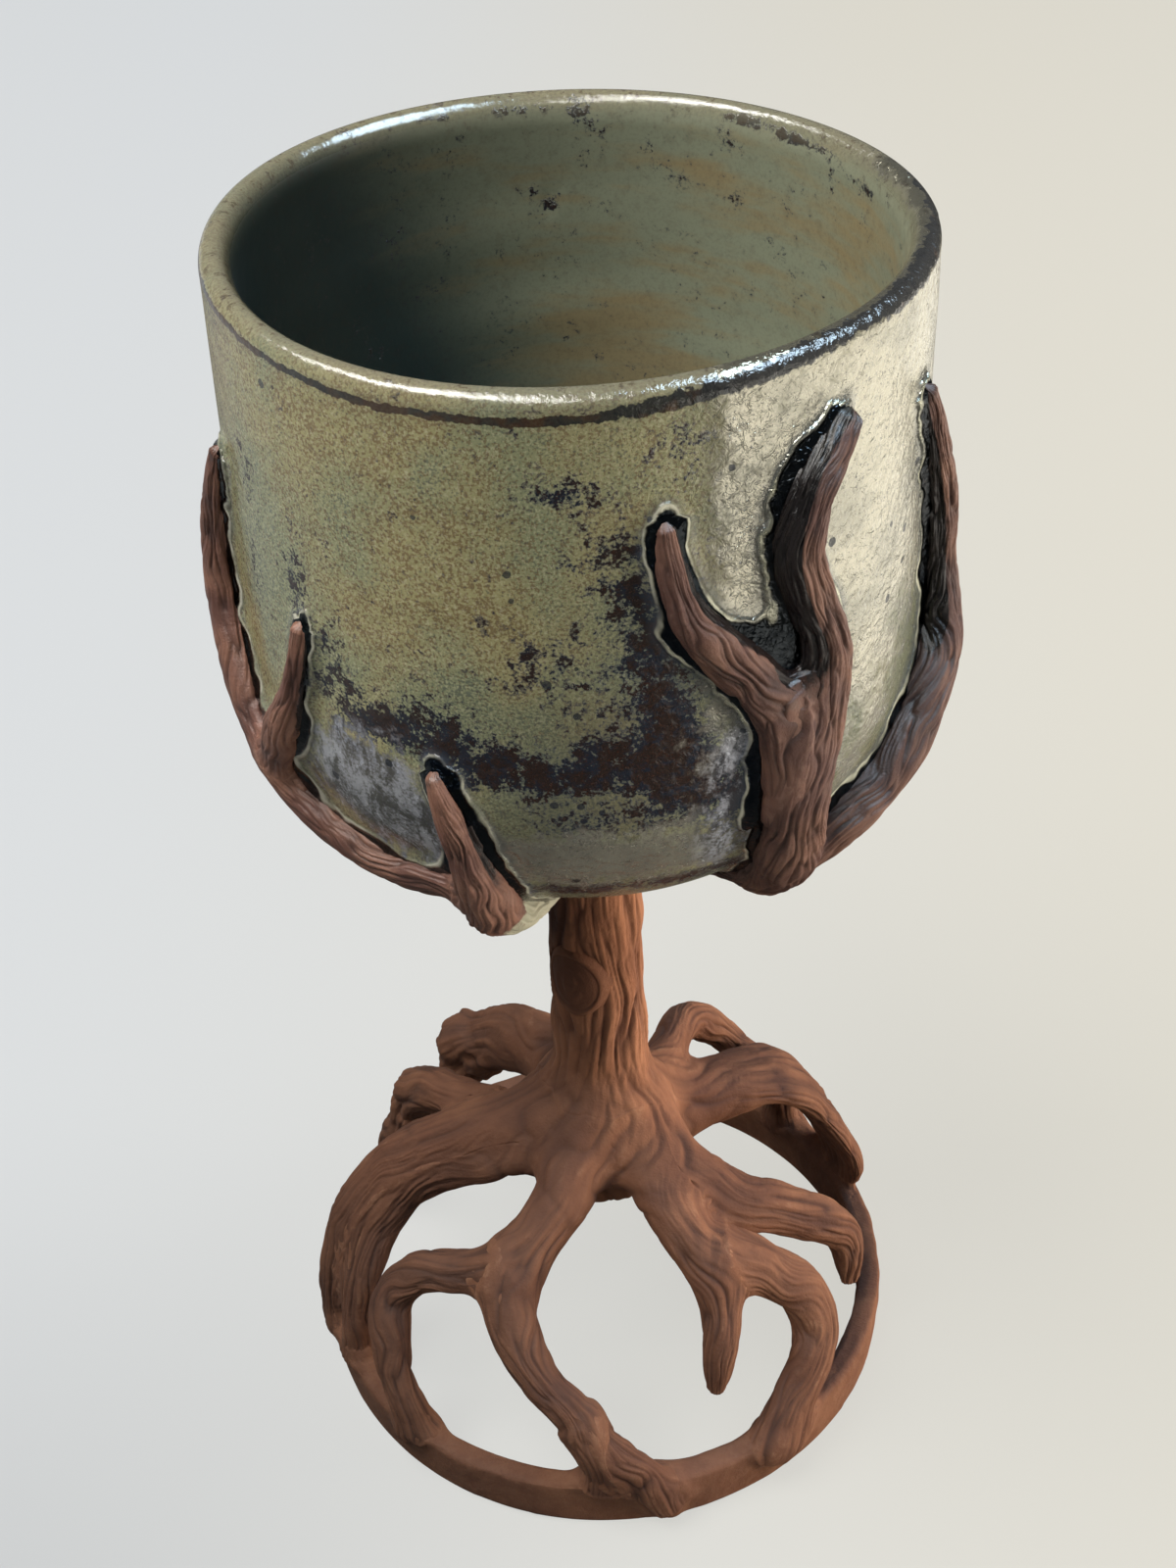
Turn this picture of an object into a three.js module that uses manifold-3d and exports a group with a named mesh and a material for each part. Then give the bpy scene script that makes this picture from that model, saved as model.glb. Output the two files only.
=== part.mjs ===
// A stoneware chalice: a glazed round bowl carried by a small tree.
// Its branches lie on the bowl, and its roots arch down to a foot ring.
// Millimetres, +Z up. The origin is the centre of the foot ring's underside.
// An azimuth is in degrees, counterclockwise from +X, and the front of the chalice is at -90.
import * as THREE from 'three';
import { mergeVertices } from 'three/addons/utils/BufferGeometryUtils.js';
import Module from 'manifold-3d';

const wasm = await Module();
wasm.setup();

// Driving dimensions
const jointGap = 0.3;

const bowlRadius = 44.6;
const bowlCornerRadius = 32;
const bowlBaseHeight = 111.6;
const bowlWallThickness = 4.2;
const bowlFloorThickness = 5;
const rimHeight = 197.5;
const lipThickness = 3.8;
const rimLiftHeight = 0.8;
const rimLiftAzimuth = -35;

const ringRadius = 47.2;
const ringWallThickness = 3.8;
const ringHeight = 8.6;
const ringEdgeRadius = 0.6;
const ringLeanHeight = 0.8;
const ringLeanAzimuth = -30;

const trunkRadius = 7.3;
const trunkHeadRadius = 11;
const trunkBowDepth = 0.5;
const crownRadius = 10;
const crownHeight = 45;
const crownBaseHeight = 31;

const knotHeight = 79;
const knotAzimuth = -120;
const knotHalfWidth = 4.4;
const knotHalfHeight = 5.8;
const knotRimHeight = 1.8;
const knotShoulderHeight = 0.7;
const knotFloorHeight = 1;
const knotRimWidth = 1.3;

const rootHalfWidth = 4;
const branchHalfWidth = 4;
const branchSunkDepth = 1.2;

// Counts of facets
const bowlSegments = 40;
const ringSegments = 48;
const trunkSides = 16;
const limbSides = 8;

// Finishes
const glaze = { color: 0x76806a, roughness: 0.3, metalness: 0 };
const bark = { color: 0x553a32, roughness: 0.7, metalness: 0 };
const stoneware = { color: 0x8d5c47, roughness: 0.85, metalness: 0 };

const group = new THREE.Group();

function radians(degrees) {
  return THREE.MathUtils.degToRad(degrees);
}

// The point at an azimuth, a distance from the axis and a height
function polar(azimuth, radius, height) {
  const angle = radians(azimuth);
  return new THREE.Vector3(radius * Math.cos(angle), radius * Math.sin(angle), height);
}

// A solid for joins and cuts, from a closed geometry
function solidOf(geometry) {
  const bare = geometry.clone();
  bare.deleteAttribute('normal');
  bare.deleteAttribute('uv');
  const merged = mergeVertices(bare, 1e-4);
  const corners = merged.index.array;
  const triangles = [];
  for (let i = 0; i < corners.length; i += 3) {
    const [a, b, c] = corners.slice(i, i + 3);
    if (a !== b && b !== c && c !== a) triangles.push(a, b, c);
  }
  return new wasm.Manifold(new wasm.Mesh({
    numProp: 3,
    vertProperties: new Float32Array(merged.attributes.position.array),
    triVerts: new Uint32Array(triangles),
  }));
}

function geometryOf(solid) {
  const mesh = solid.getMesh();
  const geometry = new THREE.BufferGeometry();
  geometry.setAttribute('position', new THREE.BufferAttribute(new Float32Array(mesh.vertProperties), 3));
  geometry.setIndex(new THREE.BufferAttribute(new Uint32Array(mesh.triVerts), 1));
  geometry.computeVertexNormals();
  return geometry;
}

// What is left of a solid once its neighbours are taken away: the largest body
function fitted(solid, neighbours) {
  const cut = neighbours.reduce((rest, neighbour) => rest.subtract(neighbour), solid);
  const bodies = cut.decompose();
  return bodies.reduce((largest, body) => (body.volume() > largest.volume() ? body : largest));
}

function addPiece(name, solid, finish) {
  const mesh = new THREE.Mesh(geometryOf(solid), new THREE.MeshStandardMaterial(finish));
  mesh.name = name;
  group.add(mesh);
}

// A surface of revolution about +Z, from [radius, height] pairs
function turned(profile, segments) {
  const points = profile.map(([radius, height]) => new THREE.Vector2(radius, height));
  const geometry = new THREE.LatheGeometry(points, segments);
  geometry.rotateX(Math.PI / 2);
  return geometry;
}

// The points of an arc, as [radius, height] pairs, from one angle to another
function arc(centreRadius, centreHeight, radius, from, to, steps) {
  return Array.from({ length: steps + 1 }, (_, i) => {
    const angle = radians(from + (to - from) * i / steps);
    return [centreRadius + radius * Math.cos(angle), centreHeight + radius * Math.sin(angle)];
  });
}

// Foot ring

// Leans the top of a ring a little: higher at one azimuth than opposite it
function leanTop(geometry, from, amount, azimuth) {
  const place = geometry.attributes.position;
  for (let i = 0; i < place.count; i += 1) {
    const angle = Math.atan2(place.getY(i), place.getX(i)) - radians(azimuth);
    if (place.getZ(i) > from) place.setZ(i, place.getZ(i) + amount * Math.cos(angle));
  }
  return geometry;
}

function footRing(grow) {
  const outer = ringRadius + grow;
  const inner = ringRadius - ringWallThickness - grow;
  const top = ringHeight + grow;
  const base = -grow;
  const profile = [
    [inner + ringEdgeRadius, base],
    [outer - ringEdgeRadius, base],
    [outer, base + ringEdgeRadius],
    [outer, top - 2 * ringEdgeRadius],
    [outer - ringEdgeRadius, top - ringEdgeRadius / 2],
    [(outer + inner) / 2, top],
    [inner + ringEdgeRadius, top - ringEdgeRadius / 2],
    [inner, top - 2 * ringEdgeRadius],
    [inner, base + ringEdgeRadius],
    [inner + ringEdgeRadius, base],
  ];
  return solidOf(leanTop(turned(profile, ringSegments), ringHeight / 2, ringLeanHeight, ringLeanAzimuth));
}

// Bowl

const cornerCentre = { radius: bowlRadius - bowlCornerRadius, height: bowlBaseHeight + bowlCornerRadius };
const wallTop = rimHeight - lipThickness / 2;
const flatLength = cornerCentre.radius;
const cornerLength = bowlCornerRadius * Math.PI / 2;
const wallLength = wallTop - cornerCentre.height;
const climbLength = flatLength + cornerLength + wallLength;

// The outside of the bowl: climb is 0 on the axis below the bowl and 1 at the lip.
// The normal leans from the vertical by the same angle as the surface climbs.
function bowlPoint(azimuth, climb, above = 0) {
  const length = climb * climbLength;
  const lean = THREE.MathUtils.clamp((length - flatLength) / bowlCornerRadius, 0, Math.PI / 2);
  const beyondFlat = Math.min(length, flatLength);
  const beyondCorner = Math.max(length - flatLength - cornerLength, 0);
  const reach = bowlCornerRadius + above;
  const flat = length < flatLength;
  const radius = flat ? beyondFlat : cornerCentre.radius + reach * Math.sin(lean);
  const height = cornerCentre.height - reach * Math.cos(lean) + beyondCorner;
  return polar(azimuth, radius, height);
}

// The rim lifts gently towards the front right, where the thrower's rim wanders.
function liftRim(geometry) {
  const place = geometry.attributes.position;
  for (let i = 0; i < place.count; i += 1) {
    const angle = Math.atan2(place.getY(i), place.getX(i)) - radians(rimLiftAzimuth);
    const share = THREE.MathUtils.smoothstep(place.getZ(i), cornerCentre.height, wallTop);
    place.setZ(i, place.getZ(i) + share * rimLiftHeight * Math.max(Math.cos(angle), 0) ** 2);
  }
  return geometry;
}

function bowlShell() {
  const lipRadius = lipThickness / 2;
  const insideCorner = bowlCornerRadius - bowlWallThickness;
  const insideFloor = bowlBaseHeight + bowlFloorThickness;
  const profile = [
    [0, bowlBaseHeight],
    ...arc(cornerCentre.radius, cornerCentre.height, bowlCornerRadius, -90, 0, 8),
    ...arc(bowlRadius - lipRadius, wallTop, lipRadius, 0, 180, 5),
    ...arc(cornerCentre.radius, insideFloor + insideCorner, insideCorner, 0, -90, 7),
    [0, insideFloor],
  ];
  return solidOf(liftRim(turned(profile, bowlSegments)));
}

// The room that the bowl takes from the pieces around it: its outside, grown by the joint gap,
// filled in and carried on past the rim
function bowlRoom() {
  const pastRim = rimHeight + bowlRadius;
  const profile = [
    [0, bowlBaseHeight - jointGap],
    ...arc(cornerCentre.radius, cornerCentre.height, bowlCornerRadius + jointGap, -90, 0, 8),
    [bowlRadius + jointGap, pastRim],
    [0, pastRim],
  ];
  return solidOf(turned(profile, bowlSegments));
}

// Trunk, limbs and roots

// A closed loft: oval rings at stations of { centre, tangent, outward, halfWidth, halfDepth }
function loft(stations, sides) {
  const positions = [];
  const indices = [];
  for (const { centre, tangent, outward, halfWidth, halfDepth } of stations) {
    const side = new THREE.Vector3().crossVectors(outward, tangent).normalize();
    const up = new THREE.Vector3().crossVectors(tangent, side).normalize();
    for (let k = 0; k < sides; k += 1) {
      const angle = 2 * Math.PI * k / sides;
      const corner = centre.clone()
        .addScaledVector(side, halfWidth * Math.cos(angle))
        .addScaledVector(up, halfDepth * Math.sin(angle));
      positions.push(...corner.toArray());
    }
  }
  const first = positions.length / 3;
  positions.push(...stations[0].centre.toArray(), ...stations.at(-1).centre.toArray());
  const lastRing = (stations.length - 1) * sides;
  for (let k = 0; k < sides; k += 1) {
    const next = (k + 1) % sides;
    for (let row = 0; row < lastRing; row += sides) {
      indices.push(row + k, row + next, row + sides + next, row + k, row + sides + next, row + sides + k);
    }
    indices.push(first, next, k, first + 1, lastRing + k, lastRing + next);
  }
  const geometry = new THREE.BufferGeometry();
  geometry.setAttribute('position', new THREE.Float32BufferAttribute(positions, 3));
  geometry.setIndex(indices);
  return geometry;
}

// Smooth stations through rows of values: first the three of a place, then a half width and a half depth.
// toPlace turns a place into its centre and its outward direction.
function stationsAlong(rows, stepsPerRow, toPlace, grow) {
  const curveOf = (vectors) => new THREE.CatmullRomCurve3(vectors, false, 'catmullrom', 0.5);
  const places = curveOf(rows.map((row) => new THREE.Vector3(row[0], row[1], row[2])));
  const sizes = curveOf(rows.map((row) => new THREE.Vector3(row[3], row[4], 0)));
  const count = (rows.length - 1) * stepsPerRow;
  const stations = Array.from({ length: count + 1 }, (_, i) => {
    const size = sizes.getPoint(i / count);
    const place = toPlace(places.getPoint(i / count), size);
    return { ...place, halfWidth: place.halfWidth + grow, halfDepth: place.halfDepth + grow };
  });
  stations.forEach((station, i) => {
    const before = stations[Math.max(i - 1, 0)].centre;
    const after = stations[Math.min(i + 1, count)].centre;
    station.tangent = after.clone().sub(before).normalize();
  });
  stations[0].centre.addScaledVector(stations[0].tangent, -grow);
  stations.at(-1).centre.addScaledVector(stations.at(-1).tangent, grow);
  return stations;
}

// The trunk, from the underside of the root crown to its head below the bowl.
// Rows: [share of the height from the crown to the bowl, radius, share of the bow].
function trunkBody(grow) {
  const head = bowlBaseHeight - jointGap;
  const heightAt = (share) => THREE.MathUtils.lerp(crownHeight, head, share);
  const shaft = [
    [0, crownRadius * 0.94, 0.7],
    [0.13, crownRadius * 0.81, 0.9],
    [0.3, trunkRadius * 1.04, 1],
    [0.48, trunkRadius, 0.9],
    [0.68, trunkRadius, 0.7],
    [0.84, trunkRadius * 1.05, 0.4],
  ];
  const rows = [
    [0, 0, crownBaseHeight, crownRadius * 0.8],
    [0.2, 0, THREE.MathUtils.lerp(crownBaseHeight, crownHeight, 0.25), crownRadius],
    [0.5, 0, THREE.MathUtils.lerp(crownBaseHeight, crownHeight, 0.65), crownRadius],
    ...shaft.map(([share, radius, bow]) => [bow * trunkBowDepth, 0, heightAt(share), radius]),
    [0.1, 0, heightAt(0.94), THREE.MathUtils.lerp(trunkRadius, trunkHeadRadius, 0.45)],
    [0, 0, head, trunkHeadRadius],
  ].map(([x, y, z, radius]) => [x, y, z, radius, radius]);
  const toPlace = (place, size) => ({
    centre: place.clone(),
    outward: new THREE.Vector3(0, -1, 0),
    halfWidth: size.x,
    halfDepth: size.y,
  });
  return solidOf(loft(stationsAlong(rows, 2, toPlace, grow), trunkSides));
}

// The scar of a lost branch on the trunk: a shallow oval dish with a raised rim.
// Its profile is turned with a radius of 1, then stretched into the oval, and the trunk cuts its back.
function trunkKnot() {
  const back = trunkRadius * 0.8;
  const rimShare = knotRimWidth / knotHalfWidth;
  const bowAtKnot = trunkBowDepth * 0.9;
  const profile = [
    [0, -back],
    [1, -back],
    [1, knotShoulderHeight],
    [1 - rimShare / 2, knotRimHeight],
    [1 - rimShare, knotFloorHeight],
    [0, knotFloorHeight],
  ];
  const geometry = turned(profile, trunkSides);
  geometry.scale(knotHalfHeight, knotHalfWidth, 1);
  geometry.rotateY(Math.PI / 2);
  geometry.rotateZ(radians(knotAzimuth));
  const seat = polar(knotAzimuth, trunkRadius, knotHeight);
  geometry.translate(seat.x + bowAtKnot, seat.y, seat.z);
  return solidOf(geometry);
}

// A root. Rows: [azimuth, share of the ring's mid radius, share of the crown height, half width, half depth].
// The half width and the half depth are shares of rootHalfWidth.
// A root's outward direction points away from the middle of the floor below the trunk.
const ringSeat = ringRadius - ringWallThickness / 2;
function rootLimb(rows, grow) {
  const placed = rows.map(([azimuth, out, up, halfWidth, halfDepth]) => {
    const point = polar(azimuth, out * ringSeat, up * crownHeight);
    return [...point.toArray(), halfWidth * rootHalfWidth, halfDepth * rootHalfWidth];
  });
  const toPlace = (place, size) => ({
    centre: place.clone(),
    outward: place.clone().normalize(),
    halfWidth: size.x,
    halfDepth: size.y,
  });
  return solidOf(loft(stationsAlong(placed, 2, toPlace, grow), limbSides));
}

// A branch on the bowl. Rows: [azimuth, climb up the bowl's outside, half width, how far it stands proud].
// The half width and the proud height are shares of branchHalfWidth.
// Its oval section is sunk a little into the bowl's surface, and the bowl then takes its room.
function branchLimb(rows, grow) {
  const placed = rows.map(([azimuth, climb, halfWidth, proud]) => (
    [azimuth, climb, 0, halfWidth * branchHalfWidth, proud * branchHalfWidth]
  ));
  const toPlace = ({ x: azimuth, y: climb }, { x: halfWidth, y: proud }) => {
    const centre = bowlPoint(azimuth, climb, (proud - branchSunkDepth) / 2);
    const outward = bowlPoint(azimuth, climb, 1).sub(bowlPoint(azimuth, climb, 0));
    return { centre, outward, halfWidth, halfDepth: (proud + branchSunkDepth) / 2 };
  };
  return solidOf(loft(stationsAlong(placed, 2, toPlace, grow), limbSides));
}

const roots = {
  root_left: [
    [-150, 0.1, 1.11, 1.25, 1.05],
    [-160, 0.27, 1.1, 1.2, 1],
    [-167, 0.46, 1.05, 1.15, 0.95],
    [-171, 0.66, 0.95, 1.1, 0.9],
    [-172, 0.81, 0.81, 1.05, 0.85],
    [-171, 0.92, 0.67, 1, 0.8],
    [-169.5, 0.99, 0.5, 0.9, 0.75],
    [-168, 1.03, 0.31, 0.8, 0.675],
    [-167, 1.03, 0.1, 0.65, 0.55],
  ],
  root_left_inner: [
    [-128, 0.09, 1.02, 1.05, 0.9],
    [-135, 0.24, 1.01, 0.95, 0.85],
    [-151, 0.42, 0.965, 0.9, 0.8],
    [-163.5, 0.6, 0.89, 0.9, 0.8],
    [-166.5, 0.74, 0.79, 0.925, 0.8],
    [-164, 0.85, 0.65, 0.9, 0.8],
    [-160, 0.94, 0.48, 0.875, 0.775],
    [-157.5, 0.99, 0.3, 0.825, 0.725],
    [-156, 1, 0.14, 0.75, 0.675],
  ],
  root_left_knob: [
    [178, 0.33, 1.02, 0.8, 0.8],
    [169, 0.52, 0.99, 0.85, 0.85],
    [164, 0.62, 0.95, 1.05, 1],
    [160, 0.7, 0.86, 1, 0.95],
    [156, 0.77, 0.73, 0.825, 0.825],
    [153, 0.84, 0.56, 0.775, 0.775],
    [152, 0.92, 0.36, 0.775, 0.75],
    [152, 0.98, 0.15, 0.75, 0.7],
  ],
  root_back_left: [
    [112, 0.09, 1.02, 1.15, 1.25],
    [118, 0.29, 1.01, 1.175, 1.4],
    [124, 0.48, 0.96, 1.2, 1.5],
    [128, 0.62, 0.875, 1.15, 1.4],
    [130.5, 0.735, 0.74, 1.025, 1.15],
    [131.5, 0.84, 0.53, 0.875, 0.9],
    [130.5, 0.95, 0.31, 0.825, 0.75],
    [130, 1, 0.14, 0.75, 0.7],
  ],
  root_front_left: [
    [-103, 0.08, 1.09, 1.25, 1.15],
    [-105, 0.26, 1.03, 1.2, 1.1],
    [-110, 0.45, 0.96, 1.175, 1.05],
    [-116.3, 0.62, 0.87, 1.175, 1],
    [-116.2, 0.74, 0.79, 1.075, 0.975],
    [-113, 0.82, 0.72, 1, 0.95],
    [-105.5, 0.9, 0.61, 0.825, 0.875],
    [-97.2, 0.96, 0.49, 0.775, 0.8],
    [-93, 1, 0.33, 0.75, 0.75],
    [-92, 1, 0.16, 0.75, 0.7],
  ],
  root_front_toe: [
    [-98, 0.95, 0.5, 0.65, 0.6],
    [-90, 1, 0.36, 0.75, 0.675],
    [-85, 1.02, 0.27, 0.775, 0.675],
    [-81.3, 1.045, 0.16, 0.75, 0.6],
    [-79, 1.05, 0.055, 0.6, 0.475],
  ],
  root_front_left_side: [
    [-115, 0.65, 0.86, 0.9, 0.8],
    [-124.7, 0.7, 0.82, 0.925, 0.85],
    [-133.6, 0.75, 0.78, 0.9, 0.85],
    [-142, 0.82, 0.73, 0.9, 0.825],
    [-146.5, 0.89, 0.62, 0.9, 0.8],
    [-144.2, 0.95, 0.52, 0.9, 0.775],
    [-138.9, 1, 0.37, 0.875, 0.75],
    [-134, 1.01, 0.24, 0.825, 0.725],
    [-132.2, 1.01, 0.13, 0.75, 0.675],
  ],
  root_front_right: [
    [-57, 0.08, 1.08, 1.25, 1.15],
    [-58.5, 0.18, 1.05, 1.25, 1.125],
    [-61.5, 0.31, 1.01, 1.175, 1.075],
    [-61.5, 0.46, 0.95, 1.1, 1.025],
    [-60, 0.62, 0.87, 1.1, 0.975],
    [-59.5, 0.74, 0.77, 0.975, 0.875],
    [-62, 0.83, 0.65, 0.8, 0.75],
    [-64.5, 0.875, 0.53, 0.65, 0.625],
    [-66, 0.895, 0.41, 0.375, 0.375],
  ],
  root_front_right_side: [
    [-59, 0.66, 0.84, 0.9, 0.8],
    [-50.5, 0.72, 0.8, 0.975, 0.875],
    [-45, 0.785, 0.74, 1, 0.875],
    [-39.5, 0.87, 0.64, 1, 0.85],
    [-39.5, 0.94, 0.51, 0.975, 0.825],
    [-44, 0.985, 0.41, 0.975, 0.8],
    [-49.5, 1, 0.31, 1.05, 0.775],
    [-54.5, 1.03, 0.2, 1.225, 0.725],
    [-57.5, 1.035, 0.09, 1.15, 0.6],
  ],
  root_right: [
    [-46, 0.09, 1.02, 1.15, 1.1],
    [-45, 0.26, 1.01, 1.15, 1.05],
    [-42, 0.42, 0.97, 1.1, 1],
    [-36, 0.57, 0.89, 1.075, 0.95],
    [-28.5, 0.71, 0.82, 1.05, 0.9],
    [-21.7, 0.83, 0.71, 0.975, 0.85],
    [-18, 0.9, 0.59, 0.825, 0.75],
    [-18, 0.93, 0.47, 0.675, 0.65],
    [-18.5, 0.945, 0.34, 0.45, 0.45],
  ],
  root_back_right: [
    [30, 0.09, 0.86, 1.35, 1.4],
    [29, 0.28, 0.84, 1.4, 1.4],
    [28, 0.46, 0.835, 1.5, 1.25],
    [27.5, 0.63, 0.83, 1.7, 1],
    [27, 0.77, 0.765, 2, 0.85],
    [26.5, 0.87, 0.64, 2.15, 0.725],
    [25, 0.95, 0.49, 2.15, 0.65],
    [23.5, 1.01, 0.33, 1.9, 0.575],
    [21.5, 1.03, 0.17, 1.5, 0.475],
  ],
  root_back_loop: [
    [46, 0.3, 0.92, 0.75, 0.75],
    [53, 0.45, 0.955, 0.8, 0.8],
    [55.5, 0.59, 0.93, 0.825, 0.8],
    [53, 0.7, 0.84, 0.825, 0.8],
    [49, 0.79, 0.71, 0.775, 0.75],
    [46, 0.88, 0.56, 0.725, 0.7],
    [44, 0.96, 0.39, 0.725, 0.675],
    [43.5, 1, 0.22, 0.725, 0.65],
    [43.5, 1, 0.13, 0.7, 0.625],
  ],
};

const branches = {
  branch_front_low: [
    [-105, 0.05, 1, 0.45],
    [-106, 0.14, 1, 0.45],
    [-107.5, 0.21, 1.05, 0.55],
    [-108.5, 0.28, 1.1, 1.15],
    [-108.8, 0.34, 1.05, 1.6],
    [-108.5, 0.4, 0.9, 1.4],
    [-109.5, 0.47, 0.65, 1.05],
    [-112, 0.54, 0.5, 0.8],
    [-114, 0.58, 0.275, 0.5],
  ],
  branch_left: [
    [-108, 0.37, 0.8, 0.8],
    [-116, 0.385, 0.8, 0.85],
    [-127, 0.378, 0.825, 1],
    [-140, 0.387, 0.85, 1.075],
    [-152, 0.435, 0.9, 1.1],
    [-162, 0.51, 0.9, 1.075],
    [-169, 0.6, 0.8, 1.15],
    [-170, 0.69, 0.7, 1.125],
    [-167.5, 0.76, 0.55, 0.85],
    [-163.5, 0.83, 0.25, 0.35],
  ],
  branch_left_fork: [
    [-155, 0.45, 0.75, 0.9],
    [-147, 0.53, 0.75, 1],
    [-142, 0.59, 0.625, 0.9],
    [-139, 0.65, 0.475, 0.75],
    [-137, 0.71, 0.25, 0.5],
  ],
  branch_front: [
    [-46, 0.05, 1, 0.45],
    [-46, 0.14, 1.05, 0.45],
    [-46.5, 0.22, 1.15, 0.5],
    [-48.5, 0.29, 1.25, 0.95],
    [-52, 0.35, 1.25, 1.55],
    [-55, 0.42, 1.2, 1.6],
    [-56.5, 0.51, 1.1, 1.4],
    [-54, 0.6, 1.025, 1.275],
    [-52.5, 0.69, 0.925, 1.225],
    [-55.5, 0.76, 0.825, 1.15],
    [-57.8, 0.82, 0.775, 1.075],
    [-55.2, 0.885, 0.725, 0.975],
    [-47.6, 0.945, 0.425, 0.65],
  ],
  branch_front_fork: [
    [-57, 0.47, 0.8, 1.05],
    [-58.5, 0.55, 0.875, 1.1],
    [-60, 0.62, 0.9, 1.1],
    [-64, 0.675, 0.875, 1.075],
    [-69.5, 0.72, 0.775, 1],
    [-74.5, 0.77, 0.65, 0.9],
    [-77.3, 0.83, 0.5, 0.75],
    [-78.3, 0.885, 0.275, 0.5],
  ],
  branch_right: [
    [-48, 0.31, 0.9, 1.3],
    [-40, 0.375, 0.975, 1.5],
    [-30, 0.425, 0.95, 1.65],
    [-20, 0.485, 0.9, 1.7],
    [-12, 0.55, 0.85, 1.65],
    [-10.5, 0.64, 0.75, 1.175],
    [-13, 0.73, 0.675, 1.05],
    [-19, 0.82, 0.55, 0.8],
    [-25, 0.9, 0.275, 0.45],
  ],
  branch_back_right: [
    [20, 0.05, 1, 0.8],
    [21, 0.15, 1.05, 0.95],
    [23, 0.27, 1.15, 1.35],
    [25, 0.38, 1.075, 1.3],
    [29, 0.49, 1, 1.25],
    [34, 0.6, 0.85, 1.2],
    [36, 0.71, 0.7, 1.1],
    [32, 0.8, 0.55, 0.9],
    [27, 0.87, 0.275, 0.6],
  ],
  branch_back: [
    [80, 0.05, 1, 0.8],
    [80, 0.15, 1.05, 0.95],
    [79, 0.27, 1.15, 1.35],
    [77, 0.38, 1.05, 1.3],
    [73, 0.49, 0.95, 1.25],
    [73, 0.6, 0.8, 1.2],
    [79, 0.7, 0.65, 1.05],
    [83, 0.79, 0.275, 0.6],
  ],
  branch_back_fork: [
    [75, 0.42, 0.8, 1.05],
    [85, 0.5, 0.75, 1.1],
    [94, 0.56, 0.675, 1],
    [99, 0.63, 0.525, 0.85],
    [99, 0.7, 0.25, 0.55],
  ],
  branch_back_left: [
    [138, 0.05, 1, 0.8],
    [138, 0.15, 1.05, 0.95],
    [139, 0.27, 1.1, 1.35],
    [141, 0.38, 1, 1.25],
    [139, 0.49, 0.9, 1.2],
    [133, 0.59, 0.75, 1.15],
    [129, 0.69, 0.6, 1],
    [131, 0.78, 0.275, 0.6],
  ],
};

addPiece('foot_ring', footRing(0), stoneware);
addPiece('bowl', bowlShell(), glaze);
addPiece('trunk', trunkBody(0), stoneware);
addPiece('trunk_knot', fitted(trunkKnot(), [trunkBody(jointGap)]), stoneware);

// Each limb is cut by the pieces that were there before it, so a fork sits on the limb that it grows from.
const rooted = [footRing(jointGap), trunkBody(jointGap)];
for (const [name, rows] of Object.entries(roots)) {
  addPiece(name, fitted(rootLimb(rows, 0), rooted), stoneware);
  rooted.push(rootLimb(rows, jointGap));
}

const branched = [bowlRoom(), trunkBody(jointGap)];
for (const [name, rows] of Object.entries(branches)) {
  addPiece(name, fitted(branchLimb(rows, 0), branched), bark);
  branched.push(branchLimb(rows, jointGap));
}

export default group;
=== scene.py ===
# A stoneware chalice: a glazed bowl held by bark branches, on a trunk whose roots arch down to a foot ring.
# Shapes are worked out in millimetres and put into the meshes in metres. Azimuths are in degrees from +X.
import bpy
import numpy as np
from mathutils import Matrix, Vector


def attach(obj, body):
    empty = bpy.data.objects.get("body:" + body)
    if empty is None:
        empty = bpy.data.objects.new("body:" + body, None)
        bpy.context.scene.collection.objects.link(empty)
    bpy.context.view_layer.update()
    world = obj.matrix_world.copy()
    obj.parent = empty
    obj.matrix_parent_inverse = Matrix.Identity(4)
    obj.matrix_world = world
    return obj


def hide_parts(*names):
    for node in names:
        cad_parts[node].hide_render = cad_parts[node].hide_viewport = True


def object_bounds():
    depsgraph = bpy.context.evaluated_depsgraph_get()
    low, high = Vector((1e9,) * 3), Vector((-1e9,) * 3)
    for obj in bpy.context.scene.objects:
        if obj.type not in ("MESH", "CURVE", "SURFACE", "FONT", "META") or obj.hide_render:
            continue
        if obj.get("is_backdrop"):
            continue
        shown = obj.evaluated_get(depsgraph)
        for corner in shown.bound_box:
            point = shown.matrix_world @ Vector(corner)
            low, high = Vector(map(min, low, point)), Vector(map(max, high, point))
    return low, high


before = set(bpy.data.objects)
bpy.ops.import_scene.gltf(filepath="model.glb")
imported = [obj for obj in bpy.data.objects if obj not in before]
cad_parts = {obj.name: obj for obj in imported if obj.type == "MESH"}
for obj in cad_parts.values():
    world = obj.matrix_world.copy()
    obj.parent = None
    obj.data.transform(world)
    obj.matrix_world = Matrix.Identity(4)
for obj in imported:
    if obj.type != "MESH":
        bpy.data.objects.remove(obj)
cadLow, cadHigh = (np.array(corner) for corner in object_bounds())
print("frame loaded, box", cadLow.round(4), cadHigh.round(4))

scene = bpy.context.scene
scene.view_settings.view_transform = "Standard"

photoCamera = {"place": (0.0, -0.2466, 0.3049), "pitchDown": 38.05, "roll": -2.1, "lens": 49.95,
               "sensor": 36.0, "clipStart": 0.01}


def addObject(name, data):
    added = bpy.data.objects.new(name, data)
    scene.collection.objects.link(added)
    return added


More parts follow.
